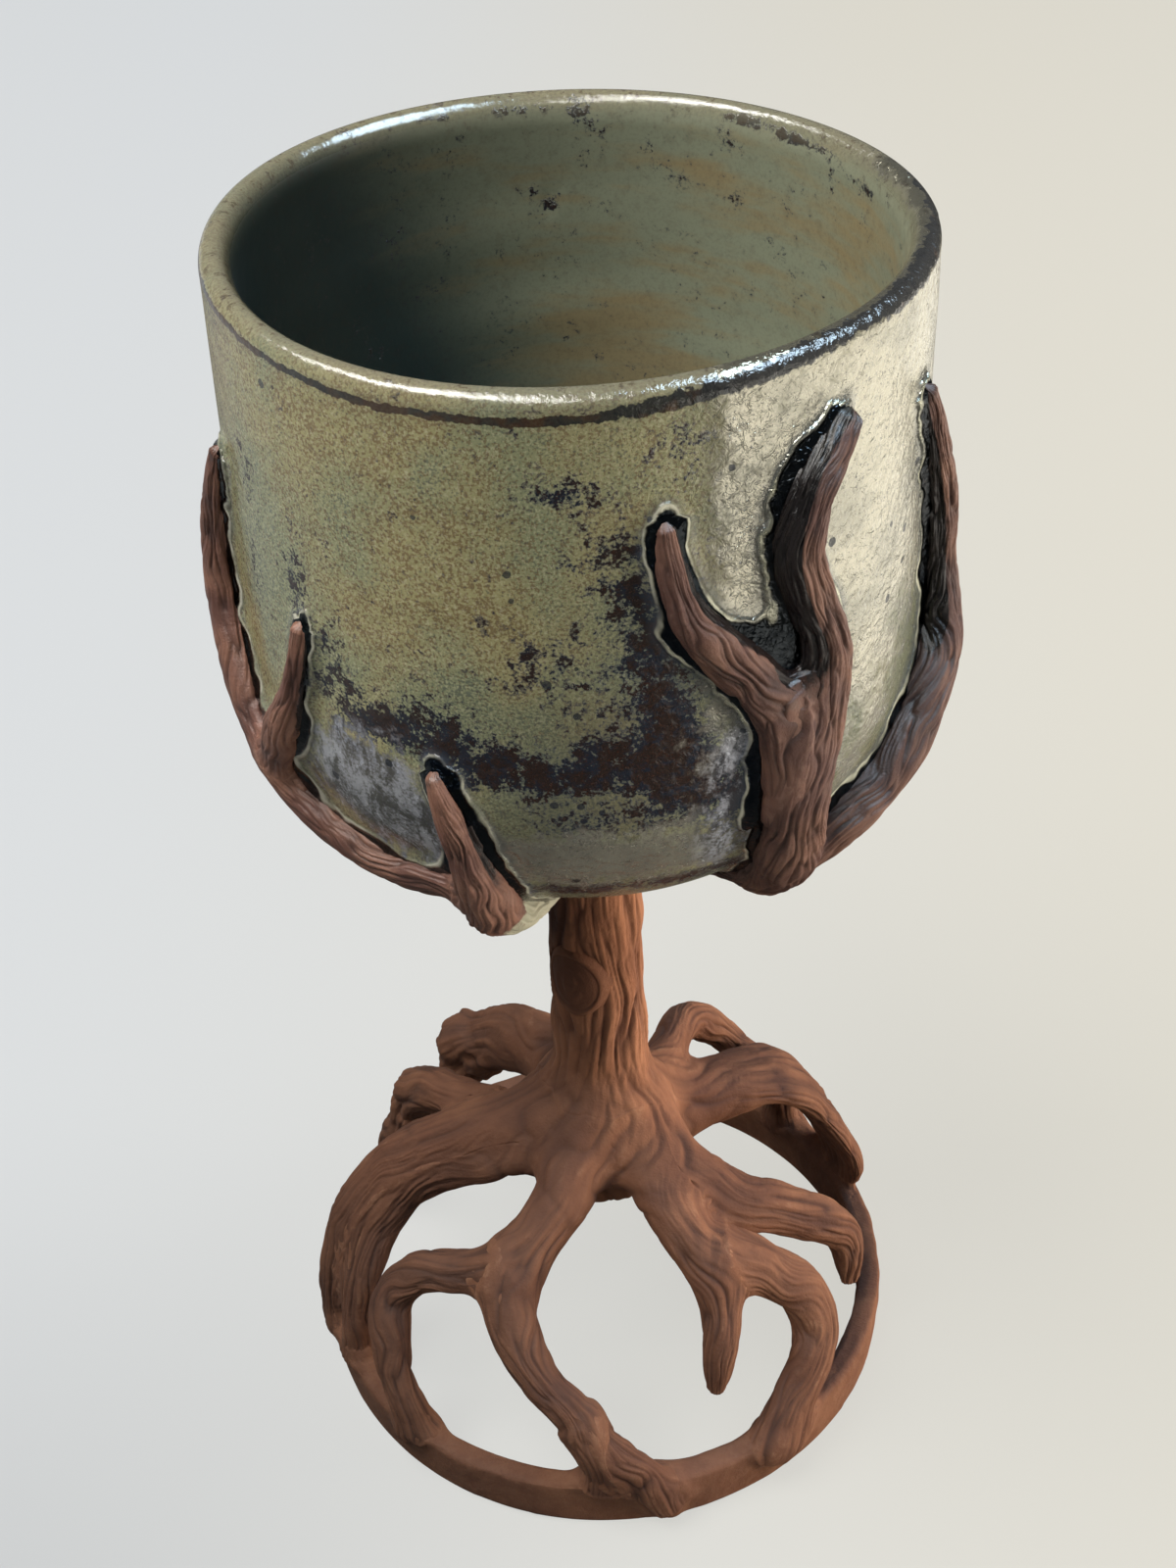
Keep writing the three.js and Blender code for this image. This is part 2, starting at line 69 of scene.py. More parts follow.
def addCamera(look):
    data = bpy.data.cameras.new("camera")
    data.lens = look["lens"]
    data.sensor_width = look["sensor"]
    data.clip_start = look["clipStart"]
    camera = addObject("camera", data)
    tilt = Matrix.Rotation(np.radians(90 - look["pitchDown"]), 4, "X")
    roll = Matrix.Rotation(np.radians(look["roll"]), 4, "Z")
    camera.matrix_world = Matrix.Translation(look["place"]) @ tilt @ roll
    scene.camera = camera


addCamera(photoCamera)


# Curves, noise and meshes shared by the pieces

def unit(vectors):
    return vectors / np.maximum(np.linalg.norm(vectors, axis=-1, keepdims=True), 1e-9)


def blend(low, high, share):
    return low + (high - low) * share


def ease(low, high, values):  # 0 below low, 1 above high, and smooth between them
    t = np.clip((values - low) / (high - low), 0, 1)
    return t * t * (3 - 2 * t)


def bell(away, width):  # 1 at 0, falling off on both sides: e to the minus square of away over width
    return np.exp(-(away / width) ** 2)


def polar(azimuth, radius, height):
    angle = np.radians(azimuth)
    radius, height = np.broadcast_arrays(radius, height)
    return np.stack([radius * np.cos(angle), radius * np.sin(angle), height + 0 * angle], -1)


def azimuthOf(points):
    return np.degrees(np.arctan2(points[..., 1], points[..., 0]))


def radiusOf(points):
    return np.hypot(points[..., 0], points[..., 1])


def degreesFrom(where, azimuth):  # from -180 to 180
    return (azimuth - where + 180) % 360 - 180


def lengthAlong(points):
    return np.concatenate([[0], np.cumsum(np.linalg.norm(np.diff(points, axis=0), axis=1))])


def throughRows(rows, count, ring=False):
    # Catmull-Rom curve through the rows: a cubic between each two of them, from their neighbours' slopes
    if ring:
        padded = np.concatenate([rows[-1:], rows, rows[:2]])
        t = np.arange(count) * len(rows) / count
        i = t.astype(int)
    else:
        padded = np.concatenate([2 * rows[:1] - rows[1:2], rows, 2 * rows[-1:] - rows[-2:-1]])
        t = np.linspace(0, len(rows) - 1, count)
        i = np.minimum(t.astype(int), len(rows) - 2)
    w = (t - i).reshape(-1, *[1] * (rows.ndim - 1))
    a, b, c, d = padded[i], padded[i + 1], padded[i + 2], padded[i + 3]
    return b + 0.5 * w * (c - a + w * (2 * a - 5 * b + 4 * c - d + w * (3 * (b - c) + d - a)))


def refine(grid, rows, sides, closedRows=False):
    longer = throughRows(grid, rows, ring=closedRows)
    return throughRows(longer.swapaxes(0, 1), sides, ring=True).swapaxes(0, 1)


def softNoise(x, y, wrap, seed):
    # random values on a lattice, blended smoothly from cell to cell; y comes round again after wrap cells
    x = np.maximum(x, 0)
    table = np.random.default_rng(seed).random((int(x.max()) + 3, wrap))
    i, j = np.floor(x).astype(int), np.floor(y).astype(int)
    u, v = ease(0, 1, x - i), ease(0, 1, y - j)
    first, second = (blend(table[i, line % wrap], table[i + 1, line % wrap], u) for line in (j, j + 1))
    return blend(first, second, v)


def solidNoise(points, size, seed):
    # random values on a cubic lattice that repeats, blended smoothly between the eight corners of a cell
    cells = 32
    table = np.random.default_rng(seed).random((cells, cells, cells))
    at = points / size + 20 * cells
    cell = np.floor(at).astype(int)
    share = ease(0, 1, at - cell)
    total = 0
    for corner in np.ndindex(2, 2, 2):
        i, j, k = np.moveaxis((cell + corner) % cells, -1, 0)
        total = total + np.where(corner, share, 1 - share).prod(-1) * table[i, j, k]
    return total


def surfaceNormals(grid, closedRows=False):
    # cross product of the two directions of the grid, which always wraps around its second one
    around = np.roll(grid, -1, 1) - np.roll(grid, 1, 1)
    along = np.roll(grid, -1, 0) - np.roll(grid, 1, 0) if closedRows else np.gradient(grid, axis=0)
    return unit(np.cross(around, along))


def gridMesh(name, grid, values, closedRows=False):
    # one face between each four neighbours, with a pole at each end where the rows don't close on themselves
    rows, sides = grid.shape[:2]
    index = np.arange(rows * sides).reshape(rows, sides)
    below = index if closedRows else index[:-1]
    above = np.roll(index, -1, 0) if closedRows else index[1:]
    corners = np.stack([below, np.roll(below, -1, 1), np.roll(above, -1, 1), above], -1).ravel()
    sizes = np.full(len(corners) // 4, 4)
    points = grid.reshape(-1, 3)
    if not closedRows:
        points = np.concatenate([points, grid[[0, -1]].mean(1)])
        first, last = index[0], index[-1]
        startFan = np.stack([np.full(sides, rows * sides), np.roll(first, -1), first], -1)
        endFan = np.stack([np.full(sides, rows * sides + 1), last, np.roll(last, -1)], -1)
        corners = np.concatenate([corners, startFan.ravel(), endFan.ravel()])
        sizes = np.concatenate([sizes, np.full(2 * sides, 3)])
    hair = 0.02  # how far every point keeps inside the solids' box
    points = np.clip(points, cadLow * 1000 + hair, cadHigh * 1000 - hair) / 1000
    mesh = bpy.data.meshes.new(name)
    mesh.vertices.add(len(points))
    mesh.vertices.foreach_set("co", points.astype(np.float32).ravel())
    mesh.loops.add(len(corners))
    mesh.loops.foreach_set("vertex_index", corners.astype(np.int32))
    mesh.polygons.add(len(sizes))
    mesh.polygons.foreach_set("loop_start", (np.cumsum(sizes) - sizes).astype(np.int32))
    mesh.polygons.foreach_set("use_smooth", np.ones(len(sizes), bool))
    mesh.update(calc_edges=True)
    mesh.validate()
    for key, field in values.items():
        field = np.broadcast_to(field, (rows, sides)).ravel()
        if not closedRows:
            field = np.append(field, field[[0, -1]])
        mesh.attributes.new(key, "FLOAT", "POINT").data.foreach_set("value", field.astype(np.float32))
    return mesh


def addPiece(node, ending, material, grid, values, closedRows=False):
    piece = addObject(node + ending, gridMesh(node + ending, grid, values, closedRows))
    piece.data.materials.append(material)
    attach(piece, "root")
    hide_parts(node)


# The bowl's outside is a flat base, a round corner and an upright wall. Climb runs along it, from 0 below the
# bowl's middle to 1 at the lip.
bowl = {
    "radius": 44.6, "cornerRadius": 32.0, "baseHeight": 111.6, "wall": 4.2, "floor": 5.0,
    "rimHeight": 197.5, "lip": 3.8, "lipInside": 2.3, "lipDepth": 4.2, "rimLift": 0.8, "rimLiftAzimuth": -35,
    "around": 424, "cornerRows": 46, "wallRows": 84, "lipRows": 34, "insideRows": 28, "floorRows": 8,
    "pole": 0.4, "throwingRings": 0.10, "insideRings": 2.2, "ringSpacing": 6.5, "ringsStart": (2, 14),
    "ringTwist": 2, "ringCells": 7, "ringSeed": 41,
    "glazeLap": 2.5, "glazeLapHeight": 1.3, "branchReach": 7.0, "farGap": 12.0,
    "wander": [(140, 34, 0.7), (-165, 30, -0.55), (-40, 30, -0.25), (60, 30, 0.2)],  # where, spread, how far
    "dent": {"azimuth": 93, "radius": 40, "height": 183,
             "deep": 0.45, "slant": 0.9, "long": 0.8, "high": 1.0},
}
cornerMiddle = np.array([bowl["radius"] - bowl["cornerRadius"], bowl["baseHeight"] + bowl["cornerRadius"]])
wallTop = bowl["rimHeight"] - bowl["lip"] / 2
flatLength = cornerMiddle[0]
cornerLength = bowl["cornerRadius"] * np.pi / 2
climbLength = flatLength + cornerLength + wallTop - cornerMiddle[1]


def bowlPoint(azimuth, climb, above):
    length = climb * climbLength
    lean = np.clip((length - flatLength) / bowl["cornerRadius"], 0, np.pi / 2)
    reach = bowl["cornerRadius"] + above
    radius = np.where(length < flatLength, length, cornerMiddle[0] + reach * np.sin(lean))
    height = cornerMiddle[1] - reach * np.cos(lean) + np.maximum(length - flatLength - cornerLength, 0)
    return polar(azimuth, radius, height)


def bowlHeight(points):  # distance outwards from the bowl's surface
    radius, height = radiusOf(points), points[..., 2]
    corner = np.hypot(radius - cornerMiddle[0], height - cornerMiddle[1]) - bowl["cornerRadius"]
    return np.where(height > cornerMiddle[1], radius - bowl["radius"],
                    np.where(radius > cornerMiddle[0], corner, bowl["baseHeight"] - height))


# Routes of the limbs. Roots: azimuth, share of the way out to the ring, share of the crown's height,
# half width and half depth. Branches: azimuth, climb up the bowl, half width and how far they stand proud.
limbs = {"ringSeat": 45.3, "crownHeight": 45.0, "halfWidth": 4.0, "sunk": 1.2, "tip": 0.9, "step": 0.9,
         "curvePoints": 1600, "coarseSides": 40, "leastRows": 24,
         "rootSides": 136, "rootSpacing": 0.36, "branchSpacing": 0.34,
         "rootSeed": 100, "branchSeed": 300, "seedStep": 10}

roots = {
    "root_left": [
        (-150, 0.1, 1.11, 1.25, 1.05), (-160, 0.27, 1.1, 1.2, 1), (-167, 0.46, 1.05, 1.15, 0.95),
        (-171, 0.66, 0.95, 1.1, 0.9), (-172, 0.81, 0.81, 1.05, 0.85), (-171, 0.92, 0.67, 1, 0.8),
        (-169.5, 0.99, 0.5, 0.9, 0.75), (-168, 1.03, 0.31, 0.8, 0.675), (-167, 1.03, 0.1, 0.65, 0.55)],
    "root_left_inner": [
        (-128, 0.09, 1.02, 1.05, 0.9), (-135, 0.24, 1.01, 0.95, 0.85), (-151, 0.42, 0.965, 0.9, 0.8),
        (-163.5, 0.6, 0.89, 0.9, 0.8), (-166.5, 0.74, 0.79, 0.925, 0.8), (-164, 0.85, 0.65, 0.9, 0.8),
        (-160, 0.94, 0.48, 0.875, 0.775), (-157.5, 0.99, 0.3, 0.825, 0.725), (-156, 1, 0.14, 0.75, 0.675)],
    "root_left_knob": [
        (178, 0.33, 1.02, 0.8, 0.8), (169, 0.52, 0.99, 0.85, 0.85), (164, 0.62, 0.95, 1.05, 1),
        (160, 0.7, 0.86, 1, 0.95), (156, 0.77, 0.73, 0.825, 0.825), (153, 0.84, 0.56, 0.775, 0.775),
        (152, 0.92, 0.36, 0.775, 0.75), (152, 0.98, 0.15, 0.75, 0.7)],
    "root_back_left": [
        (112, 0.09, 1.02, 1.15, 1.25), (118, 0.29, 1.01, 1.175, 1.4), (124, 0.48, 0.96, 1.2, 1.5),
        (128, 0.62, 0.875, 1.15, 1.4), (130.5, 0.735, 0.74, 1.025, 1.15), (131.5, 0.84, 0.53, 0.875, 0.9),
        (130.5, 0.95, 0.31, 0.825, 0.75), (130, 1, 0.14, 0.75, 0.7)],
    "root_front_left": [
        (-103, 0.08, 1.09, 1.25, 1.15), (-105, 0.26, 1.03, 1.2, 1.1), (-110, 0.45, 0.96, 1.175, 1.05),
        (-116.3, 0.62, 0.87, 1.175, 1), (-116.2, 0.74, 0.79, 1.075, 0.975), (-113, 0.82, 0.72, 1, 0.95),
        (-105.5, 0.9, 0.61, 0.825, 0.875), (-97.2, 0.96, 0.49, 0.775, 0.8), (-93, 1, 0.33, 0.75, 0.75),
        (-92, 1, 0.16, 0.75, 0.7)],
    "root_front_toe": [
        (-98, 0.95, 0.5, 0.65, 0.6), (-90, 1, 0.36, 0.75, 0.675), (-85, 1.02, 0.27, 0.775, 0.675),
        (-81.3, 1.045, 0.16, 0.75, 0.6), (-79, 1.05, 0.055, 0.6, 0.475)],
    "root_front_left_side": [
        (-115, 0.65, 0.86, 0.9, 0.8), (-124.7, 0.7, 0.82, 0.925, 0.85), (-133.6, 0.75, 0.78, 0.9, 0.85),
        (-142, 0.82, 0.73, 0.9, 0.825), (-146.5, 0.89, 0.62, 0.9, 0.8), (-144.2, 0.95, 0.52, 0.9, 0.775),
        (-138.9, 1, 0.37, 0.875, 0.75), (-134, 1.01, 0.24, 0.825, 0.725), (-132.2, 1.01, 0.13, 0.75, 0.675)],
    "root_front_right": [
        (-57, 0.08, 1.08, 1.25, 1.15), (-58.5, 0.18, 1.05, 1.25, 1.125), (-61.5, 0.31, 1.01, 1.175, 1.075),
        (-61.5, 0.46, 0.95, 1.1, 1.025), (-60, 0.62, 0.87, 1.1, 0.975), (-59.5, 0.74, 0.77, 0.975, 0.875),
        (-62, 0.83, 0.65, 0.8, 0.75), (-64.5, 0.875, 0.53, 0.65, 0.625), (-66, 0.895, 0.41, 0.375, 0.375)],
    "root_front_right_side": [
        (-59, 0.66, 0.84, 0.9, 0.8), (-50.5, 0.72, 0.8, 0.975, 0.875), (-45, 0.785, 0.74, 1, 0.875),
        (-39.5, 0.87, 0.64, 1, 0.85), (-39.5, 0.94, 0.51, 0.975, 0.825), (-44, 0.985, 0.41, 0.975, 0.8),
        (-49.5, 1, 0.31, 1.05, 0.775), (-54.5, 1.03, 0.2, 1.225, 0.725), (-57.5, 1.035, 0.09, 1.15, 0.6)],
    "root_right": [
        (-46, 0.09, 1.02, 1.15, 1.1), (-45, 0.26, 1.01, 1.15, 1.05), (-42, 0.42, 0.97, 1.1, 1),
        (-36, 0.57, 0.89, 1.075, 0.95), (-28.5, 0.71, 0.82, 1.05, 0.9), (-21.7, 0.83, 0.71, 0.975, 0.85),
        (-18, 0.9, 0.59, 0.825, 0.75), (-18, 0.93, 0.47, 0.675, 0.65), (-18.5, 0.945, 0.34, 0.45, 0.45)],
    "root_back_right": [
        (30, 0.09, 0.86, 1.35, 1.4), (29, 0.28, 0.84, 1.4, 1.4), (28, 0.46, 0.835, 1.5, 1.25),
        (27.5, 0.63, 0.83, 1.75, 1), (27, 0.77, 0.765, 2.1, 0.85), (26.5, 0.87, 0.64, 2.35, 0.725),
        (25, 0.95, 0.49, 2.4, 0.65), (23.5, 1.01, 0.33, 2.1, 0.575), (21.5, 1.03, 0.17, 1.6, 0.475)],
    "root_back_loop": [
        (36, 0.1, 0.82, 0.75, 0.75), (46, 0.3, 0.92, 0.75, 0.75), (53, 0.45, 0.955, 0.8, 0.8),
        (55.5, 0.59, 0.93, 0.825, 0.8), (53, 0.7, 0.84, 0.825, 0.8), (48.5, 0.79, 0.71, 0.775, 0.75),
        (45, 0.88, 0.56, 0.725, 0.7), (42.5, 0.96, 0.39, 0.725, 0.675), (42, 1, 0.22, 0.725, 0.65),
        (42, 1, 0.13, 0.7, 0.625)],
}

branches = {
    "branch_front_low": [
        (-105, 0.05, 1, 0.45), (-106, 0.14, 1, 0.45), (-107.5, 0.21, 1.05, 0.55), (-108.5, 0.28, 1.1, 1.15),
        (-108.8, 0.34, 1.05, 1.6), (-108.5, 0.4, 0.9, 1.4), (-109.5, 0.47, 0.65, 1.05),
        (-112, 0.54, 0.5, 0.8), (-114, 0.58, 0.275, 0.5)],
    "branch_left": [
        (-108, 0.37, 0.8, 0.8), (-116, 0.385, 0.8, 0.85), (-127, 0.378, 0.825, 1), (-140, 0.387, 0.85, 1.075),
        (-152, 0.435, 0.9, 1.1), (-162, 0.51, 0.9, 1.075), (-169, 0.6, 0.8, 1.15), (-170, 0.69, 0.7, 1.125),
        (-167.5, 0.76, 0.55, 0.85), (-163.5, 0.83, 0.25, 0.35)],
    "branch_left_fork": [
        (-155, 0.45, 0.75, 0.9), (-147, 0.53, 0.75, 1), (-142, 0.59, 0.625, 0.9), (-139, 0.65, 0.475, 0.75),
        (-137, 0.71, 0.25, 0.5)],
    "branch_front": [
        (-46, 0.05, 1, 0.45), (-46, 0.14, 1.05, 0.45), (-46.5, 0.22, 1.15, 0.5), (-48.5, 0.29, 1.25, 0.95),
        (-52, 0.35, 1.25, 1.55), (-55, 0.42, 1.2, 1.6), (-56.5, 0.51, 1.1, 1.4), (-54, 0.6, 1.025, 1.275),
        (-52.5, 0.69, 0.925, 1.225), (-55.5, 0.76, 0.825, 1.15), (-57.8, 0.82, 0.775, 1.075),
        (-55.2, 0.885, 0.725, 0.975), (-47.6, 0.945, 0.425, 0.65)],
    "branch_front_fork": [
        (-57, 0.47, 0.8, 1.05), (-58.5, 0.55, 0.875, 1.1), (-60, 0.62, 0.9, 1.1), (-64, 0.675, 0.875, 1.075),
        (-69.5, 0.72, 0.775, 1), (-74.5, 0.77, 0.65, 0.9), (-77.3, 0.83, 0.5, 0.75),
        (-78.3, 0.885, 0.275, 0.5)],
    "branch_right": [
        (-48, 0.31, 0.9, 1.3), (-40, 0.375, 0.975, 1.5), (-30, 0.425, 0.95, 1.65), (-20, 0.485, 0.9, 1.7),
        (-12, 0.55, 0.85, 1.65), (-10.5, 0.64, 0.75, 1.175), (-13, 0.73, 0.675, 1.05), (-19, 0.82, 0.55, 0.8),
        (-25, 0.9, 0.275, 0.45)],
    "branch_back_right": [
        (20, 0.05, 1, 0.8), (21, 0.15, 1.05, 0.95), (23, 0.27, 1.15, 1.35), (25, 0.38, 1.075, 1.3),
        (29, 0.49, 1, 1.25), (34, 0.6, 0.85, 1.2), (36, 0.71, 0.7, 1.1), (32, 0.8, 0.55, 0.9),
        (27, 0.87, 0.275, 0.6)],
    "branch_back": [
        (80, 0.05, 1, 0.8), (80, 0.15, 1.05, 0.95), (79, 0.27, 1.15, 1.35), (77, 0.38, 1.05, 1.3),
        (73, 0.49, 0.95, 1.25), (73, 0.6, 0.8, 1.2), (79, 0.7, 0.65, 1.05), (83, 0.79, 0.275, 0.6)],
    "branch_back_fork": [
        (75, 0.42, 0.8, 1.05), (85, 0.5, 0.75, 1.1), (94, 0.56, 0.675, 1), (99, 0.63, 0.525, 0.85),
        (99, 0.7, 0.25, 0.55)],
    "branch_back_left": [
        (138, 0.05, 1, 0.8), (138, 0.15, 1.05, 0.95), (139, 0.27, 1.1, 1.35), (141, 0.38, 1, 1.25),
        (139, 0.49, 0.9, 1.2), (133, 0.59, 0.75, 1.15), (129, 0.69, 0.6, 1), (131, 0.78, 0.275, 0.6)],
}


def rootPlaces(rows):
    azimuth, out, up, halfWidth, halfDepth = np.array(rows).T
    points = polar(azimuth, out * limbs["ringSeat"], up * limbs["crownHeight"])
    return np.column_stack([points, halfWidth * limbs["halfWidth"], halfDepth * limbs["halfWidth"]])


def rootFrames(values):
    return values[:, :3], unit(values[:, :3]), values[:, 3], values[:, 4]


def branchPlaces(rows):
    azimuth, climb, halfWidth, proud = np.array(rows).T
    return np.column_stack([azimuth, climb, halfWidth * limbs["halfWidth"], proud * limbs["halfWidth"]])


def branchFrames(values):
    azimuth, climb, halfWidth, proud = values.T
    centre = bowlPoint(azimuth, climb, (proud - limbs["sunk"]) / 2)
    outward = unit(bowlPoint(azimuth, climb, 1) - bowlPoint(azimuth, climb, 0))
    return centre, outward, halfWidth, (proud + limbs["sunk"]) / 2


# Trunk: it bows a little to the right between the root crown's underside and its head below the bowl
trunk = {
    "rows": [  # to the right, height and radius
        (0, 31, 8), (0.2, 34.5, 10), (0.5, 40.1, 10), (0.35, 45, 9.4), (0.45, 53.619, 8.1),
        (0.5, 64.89, 7.592), (0.45, 76.824, 7.3), (0.35, 90.084, 7.3), (0.2, 100.692, 7.665),
        (0.1, 107.322, 8.965), (0, 111.3, 11)],
    "radius": 7.3, "tip": 0.25, "sides": 224, "spacing": 0.3, "coarseSides": 72, "seed": 11,
}


def trunkFrames(values):
    right, height, radius = values.T
    forward = np.tile([0.0, -1.0, 0.0], (len(values), 1))
    return np.column_stack([right, 0 * height, height]), forward, radius, radius


def followRoute(rows, toFrames, tip=limbs["tip"]):
    # stations at even steps along the curve, each with its side and up directions; the ends close like a dome
    centre, outward, halfWidth, halfDepth = toFrames(throughRows(rows, limbs["curvePoints"]))
    length = lengthAlong(centre)
    at = np.linspace(0, length[-1], int(length[-1] / limbs["step"]) + 1)
    columns = np.column_stack([centre, outward, halfWidth, halfDepth]).T
    columns = np.column_stack([np.interp(at, length, column) for column in columns])
    centre, outward, halfWidth, halfDepth = columns[:, :3], columns[:, 3:6], columns[:, 6], columns[:, 7]
    tangent = unit(np.gradient(centre, axis=0))
    side = unit(np.cross(outward, tangent))

    def dome(away, radius):  # quarter of a circle from the limb's end inwards
        return np.sqrt(np.clip(1 - (1 - np.clip(away / radius, 0, 1)) ** 2, 0.0004, 1))

    close = dome(at, tip * halfWidth[0]) * dome(at[-1] - at, tip * halfWidth[-1])
    return {"centre": centre, "side": side, "up": np.cross(tangent, side), "tangent": tangent, "at": at,
            "halfWidth": halfWidth * close, "halfDepth": halfDepth * close}


def limbGrid(route, sides):
    # oval rings: half width times the cosine to the side, half depth times the sine outwards
    # gives back the points, and the rays on which they lie, from the middle of the section outwards
    angle = 2 * np.pi * np.arange(sides) / sides
    across = (route["halfWidth"][:, None] * np.cos(angle))[..., None] * route["side"][:, None]
    outwards = (route["halfDepth"][:, None] * np.sin(angle))[..., None] * route["up"][:, None]
    return route["centre"][:, None] + across + outwards, unit(across + outwards)


def distanceTo(route):
    # distance to the oval section of the nearest station, less than 0 inside the limb
    centre = route["centre"]

    def distance(points):
        square = (points ** 2).sum(1)[:, None] - 2 * points @ centre.T + (centre ** 2).sum(1)
        k = square.argmin(1)
        away = points - centre[k]
        across, outwards, ahead = ((away * route[key][k]).sum(1) for key in ("side", "up", "tangent"))
        halfWidth, halfDepth = route["halfWidth"][k], route["halfDepth"][k]
        share = np.hypot(across / halfWidth, outwards / halfDepth)
        flat = np.hypot(across, outwards)
        reach = np.where(share > 1e-3, flat / np.maximum(share, 1e-3), np.minimum(halfWidth, halfDepth))
        past = np.where(k == 0, -ahead, np.where(k == len(centre) - 1, ahead, 0))
        return np.where(past > 0, np.hypot(np.maximum(flat - reach, 0), past), flat - reach)

    return distance


# Foot ring: its section is a rounded oblong, and its top leans a little
footRing = {"radius": 47.2, "wall": 3.8, "height": 8.6, "edge": 1.1, "lean": 0.8, "leanAzimuth": -30,
            "around": 560, "sides": 72, "coarseAround": 320, "coarseSides": 36, "squareness": 0.85,
            "flats": 1.6, "groove": 0.12, "wave": 0.14, "waveFrom": (0.2, 1.2),
            "waves": [(4, 7, 5), (1.5, 2.2, 6)]}  # how strong, size and seed
ringMiddle = footRing["radius"] - footRing["wall"] / 2


def ringTop(azimuth):
    return footRing["height"] + footRing["lean"] * np.cos(np.radians(azimuth - footRing["leanAzimuth"]))


def ringDistance(points):
    # distance to the rounded oblong section in the plane through the axis
    top, edge = ringTop(azimuthOf(points)), footRing["edge"]
    across = np.abs(radiusOf(points) - ringMiddle) - footRing["wall"] / 2 + edge
    upright = np.abs(points[:, 2] - top / 2) - top / 2 + edge
    outside = np.hypot(np.maximum(across, 0), np.maximum(upright, 0))
    return outside + np.minimum(np.maximum(across, upright), 0) - edge


def ringGrid():
    # rows run around the ring, sides run around its section
    azimuth = (360 * np.arange(footRing["coarseAround"]) / footRing["coarseAround"])[:, None]
    angle = 2 * np.pi * np.arange(footRing["coarseSides"]) / footRing["coarseSides"]
    edge = footRing["edge"]
    cosine, sine = np.cos(angle), np.sin(angle)
    stretch = footRing["flats"] / np.maximum(np.abs(cosine), np.abs(sine)) ** footRing["squareness"]
    across = np.clip(cosine * stretch, -1, 1) * (footRing["wall"] / 2 - edge) + edge * cosine
    upright = np.clip(sine * stretch, -1, 1) * (ringTop(azimuth) / 2 - edge) + edge * sine
    grid = polar(azimuth, ringMiddle + across, ringTop(azimuth) / 2 + upright)
    return grid, unit(grid - polar(azimuth, ringMiddle, ringTop(azimuth) / 2))


# Fusing: pieces that meet share one smooth union. Each point of a piece slides along its own ray until it is
# on the union's surface, and where another piece is the nearer one it sinks out of sight. The union takes the
# pieces in one order, so all of them agree on it.
fusing = {
    "turns": 12, "share": 0.9, "inwards": -1.0, "outwards": 4.0,  # how a point slides
    "inside": -4.5, "fades": -2.0, "outside": 13.0,  # where a neighbour counts, by the distance to it
    "sink": 0.9, "sinkOver": 1.4, "seam": 0.07, "crownSeam": 0.3, "crownEdge": (18, 30),
    "rootReach": 4.6, "ringReach": 4.5, "trunkReach": 11.0, "branchReach": 3.0,
    "far": 99.0, "apart": 20.0,  # a distance to nothing, and the lead where no neighbour is close
}


def blendMin(a, b, reach):
    h = np.clip(1 - np.abs(a - b) / reach, 0, 1)
    return np.minimum(a, b) - h * h * reach / 4


def fuseGrid(name, grid, rays, pieces):
    # pieces: name -> (distance, reach). Also gives back how much farther than the piece itself its nearest
    # neighbour is, so that what is worked into a surface can stop at the seam.
    points, rays = grid.reshape(-1, 3), rays.reshape(-1, 3)
    first = {other: piece[0](points) for other, piece in pieces.items() if other != name}
    close = [other for other, value in first.items() if value.min() < pieces[other][1] + 1]
    apart = np.full(len(points), fusing["apart"])
    if not close:
        return grid, apart.reshape(grid.shape[:2])
    nearest = np.min([first[other] for other in close], axis=0)
    active = np.nonzero((nearest < fusing["outside"]) & (nearest > fusing["inside"]))[0]
    start, ray = points[active], rays[active]
    order = [other for other in pieces if other in close or other == name]

    def fieldsAt(p):
        total = near = np.full(len(p), fusing["far"])
        for other in order:
            distance, reach = pieces[other]
            value = distance(p)
            total = blendMin(total, value, reach)
            if other == name:
                own = value
            else:
                near = np.minimum(near, value)
        return total, near - own

    slid = np.zeros(len(active))
    for _ in range(fusing["turns"]):
        total, lead = fieldsAt(start + slid[:, None] * ray)
        slid = np.clip(slid - fusing["share"] * total, fusing["inwards"], fusing["outwards"])
    # past the seam the piece sinks below its neighbour, a little later where both have the crown's bark
    shared = 1 - ease(*fusing["crownEdge"], radiusOf(start))
    past = -lead - fusing["seam"] - fusing["crownSeam"] * shared
    slid = slid * ease(fusing["inside"], fusing["fades"], nearest[active])
    slid = slid - fusing["sink"] * ease(0, fusing["sinkOver"], past)
    moved = points.copy()
    moved[active] = start + slid[:, None] * ray
    apart[active] = lead
    return moved.reshape(grid.shape), apart.reshape(grid.shape[:2])


# Bark: grooves run along a limb. They are ridged noise, long along it and narrow around it, led astray by
# wider noise, in three sizes. Lumps are noise in space, so two pieces that meet swell alike.
barkLooks = {
    "root": {"groove": 1.7, "run": 11.0, "bend": 12.0, "wander": 2.8, "deep": 0.48, "middle": 0.25,
             "fine": 0.12, "lump": 0.85},
    "trunk": {"groove": 2.5, "run": 16.0, "bend": 18.0, "wander": 2.2, "deep": 0.80, "middle": 0.32,
              "fine": 0.13, "lump": 0.75},
    "branch": {"groove": 1.25, "run": 8.0, "bend": 9.0, "wander": 2.8, "deep": 0.44, "middle": 0.24,
               "fine": 0.12, "lump": 0.5},
}
grooveSizes = [(1.0, 1, 4.0), (0.7, 2, 3.5), (0.4, 4, 2.0)]  # share of the run, how many for one, sharpness
# shade painted into the grooves, by their size
paintedGrooveShade = {"broad": 0.8, "middle": 0.45, "fine": 0.15}
smallWander = {"run": 0.4, "wide": 0.45}  # shares of the wider wander's
